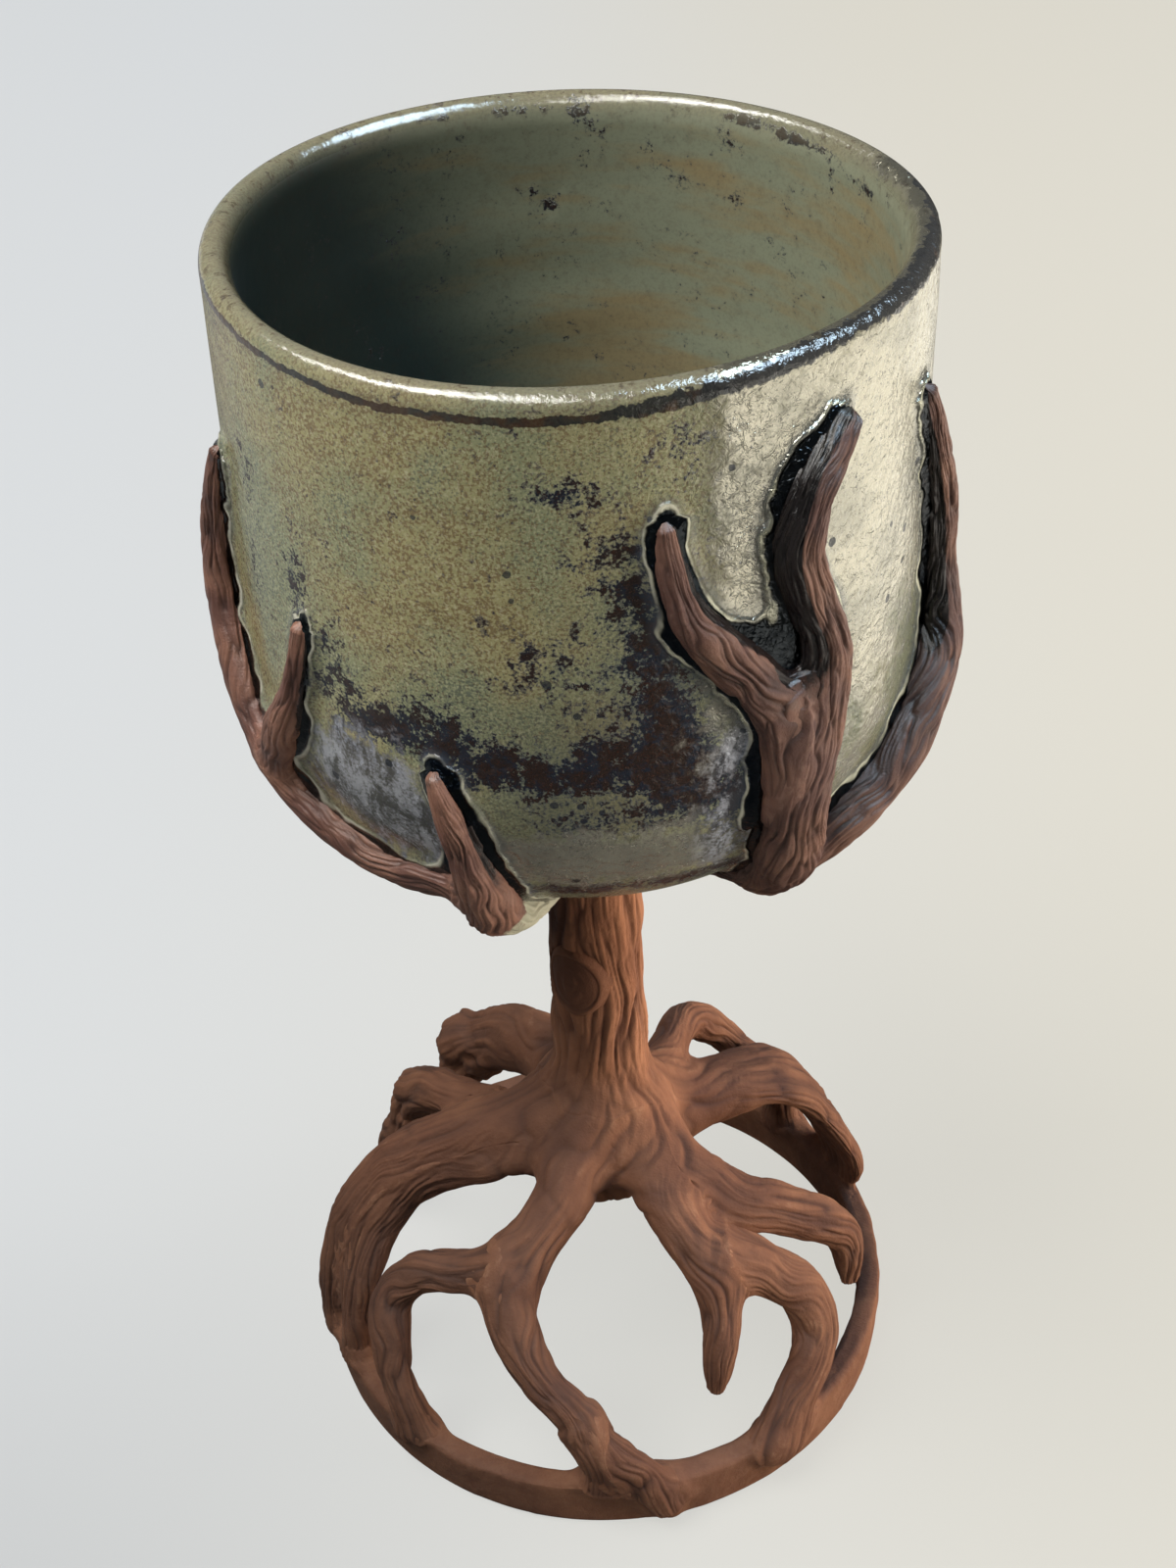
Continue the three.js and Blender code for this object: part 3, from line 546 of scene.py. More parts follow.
barkSwell = {"run": 1.3, "high": 0.9}
barkPatches = {  # the bark is smoother in patches: their length, then how much is left there and elsewhere
    "long": 9, "edge": (0.25, 0.7), "broad": (0.25, 1), "middle": (1.2, 0.7), "dark": (0.3, 1)}
crown = {"lines": 52, "start": 120, "seed": 900, "stronger": 1.25,
         "out": (16, 32), "up": (50, 66), "core": (4, 8)}  # where it fades: outwards, upwards, in the middle
lumpSizes, smallLumps = (8.0, 3.1), 0.35  # in millimetres, and how high the small lumps are
tearing = {"size": 2.2, "rise": 0.2, "fall": (0.25, 0.45), "less": 0.8}  # its course is in shares of length
fades = {"seam": (-0.4, 1.0), "thin": (0.2, 2.6), "facing": (0.35, 0.85)}


def barkRelief(x, turn, girth, look, seed):
    # gives back the relief, and the shade painted into each groove
    count = max(int(girth / look["groove"]), 5)
    astray = (softNoise(x / look["bend"], turn * 3, 3, seed) - 0.5) * look["wander"]
    small = softNoise(x / (look["bend"] * smallWander["run"]), turn * 6, 6, seed + 1) - 0.5
    astray += small * look["wander"] * smallWander["wide"]
    line = turn * count + astray

    def grooves(number, run, times, power):  # 1 in the line of a groove, falling to 0 beside it
        values = softNoise(x / (look["run"] * run), line * times, count * times, seed + number)
        return (1 - np.abs(2 * values - 1)) ** power

    broad, middle, fine = (grooves(number, *size) for number, size in enumerate(grooveSizes, 2))
    patches = ease(*barkPatches["edge"], softNoise(x / barkPatches["long"], turn * 3, 3, seed + 5))
    swell = softNoise(x / (look["run"] * barkSwell["run"]), line / 2, max(count // 2, 3), seed + 6) - 0.5
    relief = look["deep"] * (barkSwell["high"] * swell - broad * blend(*barkPatches["broad"], patches))
    relief -= look["middle"] * middle * blend(*barkPatches["middle"], patches) + look["fine"] * fine
    # the shade painted into the grooves, less of it in the broad ones where the bark is smoother
    dark = paintedGrooveShade["broad"] * broad * blend(*barkPatches["dark"], patches)
    dark = dark + paintedGrooveShade["middle"] * middle + paintedGrooveShade["fine"] * fine
    return relief, np.clip(dark, 0, 1)


def crownRelief(grid):
    # round the trunk's foot all pieces share one bark: its grooves run down the trunk and on outwards, so the
    # azimuth counts across them and the way down and outwards along them. It fades out along trunk and roots.
    out, height = radiusOf(grid), grid[..., 2]
    turn = (azimuthOf(grid) / 360) % 1
    x = crown["start"] + out - height
    relief, groove = barkRelief(x, turn, crown["lines"], barkLooks["trunk"], crown["seed"])
    share = (1 - ease(*crown["out"], out)) * (1 - ease(*crown["up"], height)) * ease(*crown["core"], out)
    return crown["stronger"] * relief, groove, share


def barkLimb(name, route, pieces, look, seed, sides, spacing, coarseSides=limbs["coarseSides"],
             warp=None, torn=None, shoulder=None):
    # the limb fused with its neighbours, then moved along its normals by grooves and lumps
    coarse, apart = fuseGrid(name, *limbGrid(route, coarseSides), pieces)
    rows = max(int(route["at"][-1] / spacing), limbs["leastRows"])
    grid = refine(coarse, rows, sides)
    apart = refine(apart[..., None], rows, sides)[..., 0]
    at = np.linspace(0, route["at"][-1], rows)
    along = at / at[-1]
    x, turn = np.broadcast_arrays(at[:, None], np.arange(sides)[None] / sides)
    if warp:
        x, turn = warp(x, turn)
    girth = 2 * np.pi * np.sqrt((route["halfWidth"] ** 2 + route["halfDepth"] ** 2) / 2).max()
    relief, groove = barkRelief(x, turn, girth, look, seed)
    lumps = solidNoise(grid, lumpSizes[0], 7) - 0.5 + smallLumps * (solidNoise(grid, lumpSizes[1], 8) - 0.5)
    lumps = look["lump"] * lumps
    if torn:  # where the end is broken off, deepest a little way before it
        start, rough = torn
        fallen = ease(start + tearing["fall"][0], start + tearing["fall"][1], along)
        strength = ease(start, start + tearing["rise"], along) * (1 - tearing["less"] * fallen)
        lumps = lumps + rough * strength[:, None] * (solidNoise(grid, tearing["size"], 9) - 0.5)
    normals = surfaceNormals(grid)
    if shoulder:  # a lump on one side of the limb
        where, spread, facing, height = shoulder
        faces = ease(*fades["facing"], normals @ unit(np.array(facing)))
        lumps = lumps + height * bell(along - where, spread)[:, None] * faces
    seam = ease(*fades["seam"], apart)
    relief, groove = relief * seam, groove * seam
    if pieces is treePieces:
        shared, sharedGroove, share = crownRelief(grid)
        relief, groove = blend(relief, shared, share), blend(groove, sharedGroove, share)
    thickness = np.interp(at, route["at"], np.minimum(route["halfWidth"], route["halfDepth"]))
    fade = ease(*fades["thin"], thickness)[:, None]
    return grid + normals * ((relief + lumps) * fade)[..., None], groove * fade, along


trunkRoute = followRoute(np.array(trunk["rows"]), trunkFrames, trunk["tip"])
rootRoutes = {name: followRoute(rootPlaces(rows), rootFrames) for name, rows in roots.items()}
branchRoutes = {name: followRoute(branchPlaces(rows), branchFrames) for name, rows in branches.items()}
treePieces = {name: (distanceTo(route), fusing["rootReach"]) for name, route in rootRoutes.items()}
treePieces["foot_ring"] = (ringDistance, fusing["ringReach"])
treePieces["trunk"] = (distanceTo(trunkRoute), fusing["trunkReach"])
branchPieces = {name: (distanceTo(route), fusing["branchReach"]) for name, route in branchRoutes.items()}
print("routes laid out:", len(rootRoutes), "roots and", len(branchRoutes), "branches")


# Materials

class Value:  # what a shader node gives; +, - and * join it to another value or to a number
    def __init__(self, socket):
        self.socket = socket

    def __add__(self, other):
        return math("ADD", self, other)

    def __sub__(self, other):
        return math("SUBTRACT", self, other)

    def __rsub__(self, other):
        return math("SUBTRACT", other, self)

    def __mul__(self, other):
        return math("MULTIPLY", self, other)


def put(socket, value):  # join a value, or set a number or a colour; one number makes a grey
    if isinstance(value, Value):
        socket.id_data.links.new(value.socket, socket)
    elif socket.type == "RGBA":
        socket.default_value = (value, value, value, 1) if np.isscalar(value) else (*value, 1)
    else:
        socket.default_value = value


def join(kind, inputs, output=0, **settings):  # a new node in the tree of the values that go into it
    tree = next(value.socket.id_data for value in inputs.values() if isinstance(value, Value))
    node = tree.nodes.new("ShaderNode" + kind)
    for name, setting in settings.items():
        setattr(node, name, setting)
    for socket, value in inputs.items():
        put(node.inputs[socket], value)
    return Value(node.outputs[output])


def math(operation, a, b=0.0):
    return join("Math", {0: a, 1: b}, operation=operation)


def stretched(place, scale):
    return join("Mapping", {"Vector": place, "Scale": scale})


def noise(place, size, detail=2.0, rough=0.5, twist=0.0):  # size in millimetres
    return join("TexNoise", {"Vector": place, "Scale": 1 / size, "Detail": detail, "Roughness": rough,
                             "Distortion": twist}, "Fac")


def offset(value, strength):  # a noise's own way up or down from its middle
    return (value - 0.5) * strength


def attribute(tree, name):
    node = tree.nodes.new("ShaderNodeAttribute")
    node.attribute_name = name
    return Value(node.outputs["Fac"])


def band(value, low, high, bottom=0.0, top=1.0):  # smooth step from low to high
    return join("MapRange", {0: value, 1: low, 2: high, 3: bottom, 4: top}, interpolation_type="SMOOTHSTEP")


def mix(share, a, b, way="MIX"):
    return join("Mix", {"Factor": share, 6: a, 7: b}, 2, data_type="RGBA", blend_type=way)


def axis(place, name):
    return join("SeparateXYZ", {0: place}, name)


def bump(height, distance, normal=None):  # distance in millimetres for a height of 1
    inputs = {"Distance": distance / 1000, "Height": height}
    return join("Bump", {**inputs, "Normal": normal} if normal else inputs)


def newMaterial(name):
    material = bpy.data.materials.new(name)
    material.use_nodes = True
    tree = material.node_tree
    tree.nodes.clear()
    output = tree.nodes.new("ShaderNodeOutputMaterial")
    shader = tree.nodes.new("ShaderNodeBsdfPrincipled")
    tree.links.new(shader.outputs[0], output.inputs[0])
    coordinates = Value(tree.nodes.new("ShaderNodeTexCoord").outputs["Object"])
    return material, tree, shader.inputs, stretched(coordinates, (1000, 1000, 1000))  # in millimetres


# Clay: its three noises are clouds, mottle and grain. Light and shade are painted into its colour, which is
# made paler or darker from one x to another, low down and high up.
# In both looks the groove colour is shade painted into the grooves, and the crest colour a highlight painted
# on the ridges.
stonewareLook = {
    "name": "unglazed stoneware", "lit": (0.285, 0.120, 0.059), "deep": (0.195, 0.076, 0.037),
    "groove": (0.060, 0.022, 0.012), "crestHighlight": (0.40, 0.205, 0.115), "roughness": 0.84, "specular": 0.25,
    "noises": [(11, 3, 0.6), (1.8, 3, 0.65), (0.32, 3, 0.75)], "clouds": (0.32, 0.68), "crestHighlightSpots": (0.42, 0.68),
    "crestHighlightShare": 0.55, "grainShare": 0.4, "grooveShadeShare": 0.8, "grainBump": 0.07, "mottleBump": 0.24,
    # painted light and shade along x: darker low down, most at the left, and paler high up on the trunk's
    # right
    "lowPaintedShading": (-45, 45, 0.53, 0.82), "highPaintedShading": (-8, 9, 0.92, 1.40),
}
barkLook = {
    "name": "branch bark with pooled glaze", "lit": (0.235, 0.112, 0.072), "deep": (0.130, 0.057, 0.041),
    "groove": (0.028, 0.012, 0.009), "crestHighlight": (0.35, 0.205, 0.148), "roughness": 0.50, "specular": 0.4,
    "noises": [(8, 3, 0.6), (1.5, 3, 0.65), (0.3, 3, 0.75)], "clouds": (0.35, 0.65), "crestHighlightSpots": (0.42, 0.66),
    "crestHighlightShare": 0.42, "grainShare": 0.35, "grooveShadeShare": 0.75, "grainBump": 0.08, "mottleBump": 0.12,
    # painted light and shade along x: the left branches paler, the right ones darker
    "lowPaintedShading": (-44, 44, 1.45, 0.75), "highPaintedShading": (-44, 44, 1.45, 0.75),
    "pool": (0.006, 0.007, 0.008), "poolRoughness": 0.18, "drip": (0.42, 0.41, 0.29),
}
clayEdges = {  # where each look starts and is full: in its noise, its groove or its height
    "crestHighlight": (0.0, 0.2), "grain": (0.5, 0.72), "paintedShading": (22, 62), "fray": 0.7, "grooveFray": 0.2,
    "pool": (0.42, 0.85), "poolShare": 0.93, "drip": (0.42, 0.60), "dripShare": 0.8,
}


def clayMaterial(look):
    material, tree, inputs, place = newMaterial(look["name"])
    roughness = look["roughness"]
    clouds, mottle, grain = (noise(place, *size) for size in look["noises"])
    groove = attribute(tree, "groove")
    colour = mix(band(clouds, *look["clouds"]), look["deep"], look["lit"])
    # painted highlight on the ridges, in spots
    crestHighlight = band(groove, *clayEdges["crestHighlight"], 1, 0) * band(mottle, *look["crestHighlightSpots"])
    colour = mix(crestHighlight * look["crestHighlightShare"], colour, look["crestHighlight"])
    colour = mix(band(grain, *clayEdges["grain"], 0, look["grainShare"]), colour, look["deep"])
    # painted shade in the grooves
    colour = mix(groove * look["grooveShadeShare"], colour, look["groove"])
    # light and shade painted along x, with one factor low down and one high up, blended by height
    low, high = (band(axis(place, "X"), *look[paintedShading]) for paintedShading in ("lowPaintedShading", "highPaintedShading"))
    paintedShading = band(axis(place, "Z"), *clayEdges["paintedShading"])
    colour = mix(1.0, colour, high * paintedShading + low * (1 - paintedShading), "MULTIPLY")
    if "pool" in look:  # dark glaze lies over the clay, and a pale drip
        frayed = offset(mottle, clayEdges["fray"]) + groove * clayEdges["grooveFray"]
        pooled = band(attribute(tree, "glazed") + frayed, *clayEdges["pool"])
        dripped = band(attribute(tree, "drip") + frayed, *clayEdges["drip"])
        colour = mix(pooled * clayEdges["poolShare"], colour, look["pool"])
        colour = mix(dripped * clayEdges["dripShare"], colour, look["drip"])
        roughness = band(pooled, 0, 1, roughness, look["poolRoughness"])
    put(inputs["Base Color"], colour)
    put(inputs["Roughness"], roughness)
    inputs["Specular IOR Level"].default_value = look["specular"]
    put(inputs["Normal"], bump(grain, look["grainBump"], bump(mottle, look["mottleBump"])))
    return material


glazeLook = {
    "olive": (0.475, 0.430, 0.205), "sage": (0.345, 0.370, 0.205), "rust": (0.170, 0.070, 0.022),
    "pale": (0.74, 0.70, 0.47), "thin": (0.085, 0.088, 0.066), "brown": (0.024, 0.011, 0.008),
    "blueBlack": (0.011, 0.016, 0.030), "slate": (0.060, 0.074, 0.096), "ember": (0.064, 0.024, 0.012),
    # inside: the lit glaze, the dark teal of the shade painted inside, and warm rings
    "inside": (0.345, 0.365, 0.250), "insideShadeTeal": (0.013, 0.047, 0.052), "insideWarm": (0.42, 0.28, 0.115),
    "pool": (0.006, 0.010, 0.016), "ridgeBreakAndGlint": (0.55, 0.54, 0.41), "softRidgeBreakAndGlint": (0.66, 0.64, 0.52),
    "silver": (0.56, 0.58, 0.65), "silverDark": (0.072, 0.074, 0.090), "cream": (0.56, 0.535, 0.44),
    "creamDark": (0.42, 0.405, 0.34), "lipBrown": (0.055, 0.024, 0.013), "lipBlack": (0.010, 0.012, 0.018),
    "lipGreyAndSheen": (0.235, 0.222, 0.160),
    "roughness": 0.20, "insideRoughness": 0.40, "lipRoughness": 0.15, "poolRoughness": 0.10, "ior": 1.52,
    "peel": 0.20, "finePeel": 0.04, "heartBump": 0.03, "hammer": 0.30, "ridgeBump": 0.24,
}


def glazeMaterial(look):
    material, tree, inputs, place = newMaterial("olive stoneware glaze")
    coarse, patchy, blots = noise(place, 15, 2, 0.5), noise(place, 4.6, 3, 0.6), noise(place, 2.3, 2, 0.6)
    middle, fine, dust = noise(place, 1.5, 3, 0.7), noise(place, 0.44, 2, 0.6), noise(place, 0.34, 2, 0.6)
    inside, thin, lip, insideLight = (attribute(tree, name) for name in ("inside", "thin", "lip", "insideLight"))
    # outside: olive and sage ground under a fine rust speckle that gathers in clouds
    ground = mix(band(coarse, 0.36, 0.64), look["sage"], look["olive"])
    gather = offset(middle, 0.16) + offset(patchy, 0.30) + offset(coarse, 0.28)
    ground = mix(band(fine + gather, 0.48, 0.60) * 0.60, ground, look["rust"])
    ground = mix(band(dust, 0.53, 0.66, 0, 0.45), ground, look["pale"])
    ground = mix(band(dust + gather, 0.43, 0.33, 0, 0.55), ground, look["slate"])
    # inside: smoother, with shade painted dark and teal down one side and deeper in, and soft warm throwing
    # rings on the lit side
    innerGround = mix(insideLight, look["insideShadeTeal"], look["inside"])
    rings = noise(stretched(place, (0.06, 0.06, 0.28)), 1.0, 3, 0.6)
    warm = band(rings + attribute(tree, "stain") * 0.28, 0.47, 0.80) * insideLight
    innerGround = mix(warm * 0.62, innerGround, look["insideWarm"])
    innerGround = mix(band(middle, 0.45, 0.7, 0, 0.16), innerGround, look["ember"])
    innerGround = mix(band(fine, 0.45, 0.7, 0, 0.14), innerGround, look["insideShadeTeal"])
    # darker where the glaze is thin; the same darkening is also painted shade low on the corner and from the
    # front round to the right
    colour = mix(thin * 0.75, mix(inside, ground, innerGround), look["thin"])
    # iron patches: a broad field broken up by noise of three sizes, blue-black and brown in turns
    iron = attribute(tree, "iron") + offset(patchy, 1.5) + offset(middle, 1.7) + offset(fine, 1.3)
    heart = band(iron, 0.46, 0.60)
    patch = mix(band(iron * 0.35 + offset(blots, 1.6), 0.12, 0.42), look["blueBlack"], look["brown"])
    patch = mix(band(dust, 0.52, 0.66, 0, 0.45), patch, look["ember"])
    colour = mix(heart, mix(band(iron, 0.26, 0.50, 0, 0.60), colour, look["slate"]), patch)
    # silvery bloom with streaks that run down where the glaze is thin, and cream towards the right
    silver = band(attribute(tree, "silver") + (offset(patchy, 1.1) + offset(middle, 0.8)), 0.35, 0.80)
    streaks = noise(stretched(place, (0.30, 0.30, 0.15)), 1.0, 4, 0.70, 0.8)
    streaks = streaks + (offset(fine, 0.45) + offset(middle, 0.25))
    bloom = mix(band(streaks, 0.38, 0.64), look["silverDark"], look["silver"])
    cream = mix(band(coarse + offset(patchy, 0.5), 0.36, 0.60), look["creamDark"], look["cream"])
    cream = mix(band(fine, 0.60, 0.70, 0, 0.55), cream, look["silverDark"])
    bloom = mix(band(thin, 0.45, 0.85), bloom, cream)
    colour = mix(silver * 0.85, colour, bloom)
    # scattered dots, one in each cell, of many sizes
    cell = {"Vector": place, "Scale": 1 / 3.4}
    dotSize = band(join("TexVoronoi", cell, "Color"), 0.66, 1.0, 0.02, 0.27)
    dotAway = join("TexVoronoi", cell, "Distance") + offset(fine, 0.10)
    dot = math("LESS_THAN", dotAway, dotSize) * (1 - inside)
    colour = mix(dot * 0.8, colour, look["blueBlack"])
    # greyer over the lip, partly a painted sky reflection, with a dark line where the glaze breaks
    colour = mix(lip * 0.78, colour, look["lipGreyAndSheen"])
    colour = mix(band(middle, 0.56, 0.66) * lip * 0.55, colour, look["lipBrown"])
    lipAway = attribute(tree, "lipLine") + (offset(middle, 2.2) + offset(patchy, 2.0))
    lipLine = band(math("ABSOLUTE", lipAway), 0.8, 1.05, 1, 0)
    lipColour = mix(band(patchy - thin * 0.25, 0.38, 0.56), look["lipBlack"], look["lipBrown"])
    colour = mix(lipLine * 0.92, colour, lipColour)
    # dark glaze pooled beside each branch, with a pale ridge along its edge where the glaze breaks, made
    # paler as a painted highlight
    fromRidge = attribute(tree, "limbGap") - band(noise(place, 8, 2, 0.5), 0.3, 0.7, 0.55, 1.9)
    ridgeAway = math("ABSOLUTE", fromRidge)
    pool = band(fromRidge, -0.3, 0.0, 1, 0)
    colour = mix(band(fromRidge, 0.2, 1.6, 0.45, 0), colour, look["slate"])
    colour = mix(pool * 0.94, colour, look["pool"])
    ridgeBreakAndGlint = band(ridgeAway, 0.08, 0.30, 1, 0) * band(noise(place, 5, 2), 0.40, 0.60, 0.1, 0.9)
    put(inputs["Base Color"], mix(ridgeBreakAndGlint, colour, mix(thin, look["softRidgeBreakAndGlint"], look["ridgeBreakAndGlint"])))
    smooth = math("MAXIMUM", pool, lipLine)
    rough = band(middle, 0.3, 0.7, look["roughness"] - 0.05, look["roughness"] + 0.08)
    rough = mix(lip, mix(inside, rough, look["insideRoughness"]), look["lipRoughness"])
    put(inputs["Roughness"], mix(smooth, rough, look["poolRoughness"]))
    metal = silver * (1 - smooth) * band(thin, 0.35, 0.8, 0.25, 0.75)
    put(inputs["Metallic"], math("MAXIMUM", metal, pool * 0.97))
    inputs["IOR"].default_value = look["ior"]
    outer = 1 - inside * 0.7
    skin = bump(noise(place, 2.6, 2, 0.5) * outer, look["peel"])
    skin = bump(noise(place, 0.5, 2, 0.6) * outer, look["finePeel"], skin)
    skin = bump(heart, look["heartBump"], skin)
    hammered = noise(place, 1.4, 3, 0.62, 0.8) * math("MAXIMUM", thin, pool * 0.5)
    skin = bump(hammered, look["hammer"], skin)
    put(inputs["Normal"], bump(band(ridgeAway, 0.0, 0.5, 1, 0), look["ridgeBump"], skin))
    return material


stoneware = clayMaterial(stonewareLook)
barkClay = clayMaterial(barkLook)
glaze = glazeMaterial(glazeLook)
print("materials made")


# Tree: trunk, knot, foot ring and roots

knot = {
    "height": 78.4, "azimuth": -124, "right": 0.45, "halfWidth": 4.4, "halfHeight": 5.8,
    "rows": 70, "sides": 128, "leastRound": 3, "seed": 31,
    # height over the trunk by the share of the way out from the middle
    "shape": [(0, 0.8), (0.6, 0.75), (0.84, 0.55), (0.92, 0.4), (0.99, 0.6), (1.05, 0.55), (1.12, 0.2),
              (1.22, -0.6), (1.42, -2.4)],
    # the rings at the rim's edges carry painted shade, and the whole knot is darker, most in its dish: partly
    # its own colour, partly painted shade
    "lower": 0.35, "rough": 0.3, "grooves": [(0.93, 0.05, 0.9), (1.24, 0.08, 1.0)],  # share, width, darkness
    "knotDarkAndShade": 0.68, "dishDarkAndShade": 0.27, "dishEdge": (0.85, 1.08),
    "parted": 0.75, "partedHigh": 10, "partedWide": 7,  # how the trunk's grooves part round it
    "press": 1.1, "pressEdge": (0.95, 1.16),
    # painted shade on the trunk above and left of the knot: azimuth, height, spread, and how dark
    "paintedShadeAzimuth": -153, "paintedShadeHeight": 92, "paintedShadeWide": 30, "paintedShadeHigh": 11, "paintedShadeDark": 1.2,
    "darkest": 1.25,
}
knotOutward = polar(knot["azimuth"], 1.0, 0.0)
knotSide = np.cross([0, 0, 1], knotOutward)


def roundKnot(x, turn):
    # the grooves part round the knot: near it, places are drawn towards its middle. Turn 0 is at the left.
    height = x - (knot["height"] - trunk["rows"][0][1])
    away = (turn - (knot["azimuth"] + 180) / 360 + 0.5) % 1 - 0.5
    wide = away * 2 * np.pi * trunk["radius"]
    near = knot["parted"] * bell(height, knot["partedHigh"]) * bell(wide, knot["partedWide"])
    return x - height * near, turn - away * near


def addTrunk():
    grid, groove, _ = barkLimb("trunk", trunkRoute, treePieces, barkLooks["trunk"], trunk["seed"],
                               trunk["sides"], trunk["spacing"], trunk["coarseSides"], warp=roundKnot)
    # pressed in behind the knot, with shade painted onto the trunk above it
    across, upright = grid @ knotSide, grid[..., 2] - knot["height"]
    share = np.hypot(across / knot["halfWidth"], upright / knot["halfHeight"])
    pressed = knot["press"] * (1 - ease(*knot["pressEdge"], share)) * (grid @ knotOutward > 0)
    grid = grid - pressed[..., None] * knotOutward
    paintedTrunkShade = bell(degreesFrom(knot["paintedShadeAzimuth"], azimuthOf(grid)), knot["paintedShadeWide"])
    paintedTrunkShade = paintedTrunkShade * bell(grid[..., 2] - knot["paintedShadeHeight"], knot["paintedShadeHigh"])
    groove = np.clip(groove + knot["paintedShadeDark"] * paintedTrunkShade, 0, knot["darkest"])
    addPiece("trunk", "_bark", stoneware, grid, {"groove": groove})


def addKnot():
    # an oval dish with a proud rim: its height over the trunk is a curve of the distance from its middle
    share = np.linspace(0.01, knot["shape"][-1][0], knot["rows"])[:, None]
    turn = (np.arange(knot["sides"]) / knot["sides"])[None]
    rough = softNoise(share * 5 + 0 * turn, turn * 7 + 0 * share, 7, knot["seed"]) - 0.5
    rise = np.interp(share, *np.array(knot["shape"]).T) + knot["rough"] * rough * ease(0, 0.4, share)
    across = share * knot["halfWidth"] * np.cos(2 * np.pi * turn)
    upright = share * knot["halfHeight"] * np.sin(2 * np.pi * turn)
    around = np.sqrt(np.maximum(trunk["radius"] ** 2 - across ** 2, knot["leastRound"] ** 2))
    grid = (around + rise - knot["lower"])[..., None] * knotOutward + across[..., None] * knotSide
    grid = grid + np.stack([0 * across + knot["right"], 0 * across, upright + knot["height"]], -1)
    # painted shade in the rings round the rim; the knot is darker, partly its own colour and partly painted
    # shade
    groove = sum(dark * bell(share - where, wide) for where, wide, dark in knot["grooves"])
    dish = knot["knotDarkAndShade"] + knot["dishDarkAndShade"] * (1 - ease(*knot["dishEdge"], share))
    groove = np.maximum(np.clip(groove, 0, 1), dish)
    addPiece("trunk_knot", "_bark", stoneware, grid, {"groove": groove})


def addFootRing():
    coarse, _ = fuseGrid("foot_ring", *ringGrid(), treePieces)
    grid = refine(coarse, footRing["around"], footRing["sides"], closedRows=True)
    wave = sum(strong * (solidNoise(grid, size, seed) - 0.5) for strong, size, seed in footRing["waves"])
    wave = footRing["wave"] * wave * ease(*footRing["waveFrom"], grid[..., 2])  # its underside stays flat
    grid = grid + surfaceNormals(grid, closedRows=True) * wave[..., None]
    values = {"groove": footRing["groove"]}
    addPiece("foot_ring", "_clay", stoneware, grid, values, closedRows=True)


tornEnds = {"root_left_knob": (0.3, 2.4), "root_back_left": (0.3, 2.0)}  # share of the length, and how rough
shoulders = {  # share of the length, how far it spreads, the way it faces and its height
    "root_left_knob": (0.42, 0.07, (-0.5, 0.2, 0.85), 1.6),
    "root_back_left": (0.52, 0.08, (-0.75, 0.1, 0.65), 2.6),
}


def addRoots():
    for number, (name, route) in enumerate(rootRoutes.items()):
        grid, groove, _ = barkLimb(name, route, treePieces, barkLooks["root"],
                                   limbs["rootSeed"] + limbs["seedStep"] * number,
                                   limbs["rootSides"], limbs["rootSpacing"],
                                   torn=tornEnds.get(name), shoulder=shoulders.get(name))
        addPiece(name, "_bark", stoneware, grid, {"groove": groove})


addTrunk()
addKnot()
addFootRing()
addRoots()
print("tree made")


# Branches: dark glaze has run over one side of each. First that side, -1 for the left, the share of the
# length from which it starts, and how much of the side it takes. Then how deep the bark is, and how many
# sides the limb has. A drip is pale glaze on that side.
branchLooks = {
    "branch_front_low": (1, 0.6, 0.2, 1.3, 128),
    "branch_left": (1, 0.2, 0.0, 0.85, 144),
    "branch_left_fork": (1, 0.3, 0.3, 1.0, 112),
    "branch_front": (-1, 0.52, 0.70, 1.2, 184),
    "branch_front_fork": (1, 0.25, 0.55, 1.1, 144),
    "branch_right": (-1, 0.05, 0.38, 1.2, 176),
    "branch_back_right": (-1, 0.45, 0.7, 1.0, 128),
    "branch_back": (1, 0.45, 0.7, 1.0, 128),
    "branch_back_fork": (1, 0.4, 0.7, 1.0, 112),
    "branch_back_left": (1, 0.4, 0.7, 1.0, 128),
}
overglaze = {
    "starts": 0.25, "narrows": 0.9, "edge": 0.2, "lessGroove": 0.4,  # how it comes in, and its edge
    "ends": 0.6, "tip": (0.93, 1.0), "foot": (0.1, 0.4), "footStarts": (0.1, 0.3),
    "drips": {"branch_front_low": 0.9}, "dripSide": (0.05, 0.6), "dripFrom": (0.22, 0.36),
    "dripTo": (0.5, 0.62),
}


def addBranches(look):
    for number, (name, route) in enumerate(branchRoutes.items()):
        side, start, amount, deeper, sides = branchLooks[name]
        bark = dict(barkLooks["branch"])
        bark.update({key: bark[key] * deeper for key in ("deep", "middle", "fine")})
        seed = limbs["branchSeed"] + limbs["seedStep"] * number
        grid, groove, along = barkLimb(name, route, branchPieces, bark, seed, sides, limbs["branchSpacing"])
        along = along[:, None]
        facing = unit(grid - grid.mean(axis=1, keepdims=True))
        azimuth = np.radians(azimuthOf(grid))
        toSide = side * (facing[..., 1] * np.cos(azimuth) - facing[..., 0] * np.sin(azimuth))
        edge = 1 - look["narrows"] * amount
        over = ease(edge, edge + look["edge"], toSide) * ease(start, start + look["starts"], along)
        tip = look["ends"] * ease(*look["tip"], along)
        foot = look["ends"] * (1 - ease(*look["foot"], bowlHeight(grid))) * ease(*look["footStarts"], along)
        glazed = np.clip(np.maximum(over + tip, foot), 0, 1)
        drip = ease(*look["dripFrom"], along) * (1 - ease(*look["dripTo"], along))
        drip = look["drips"].get(name, 0) * ease(*look["dripSide"], toSide) * drip
        groove = groove * (1 - look["lessGroove"] * over)
        values = {"groove": groove, "glazed": glazed * (1 - drip), "drip": drip}
        addPiece(name, "_bark", barkClay, grid, values)


addBranches(overglaze)
print("branches made")


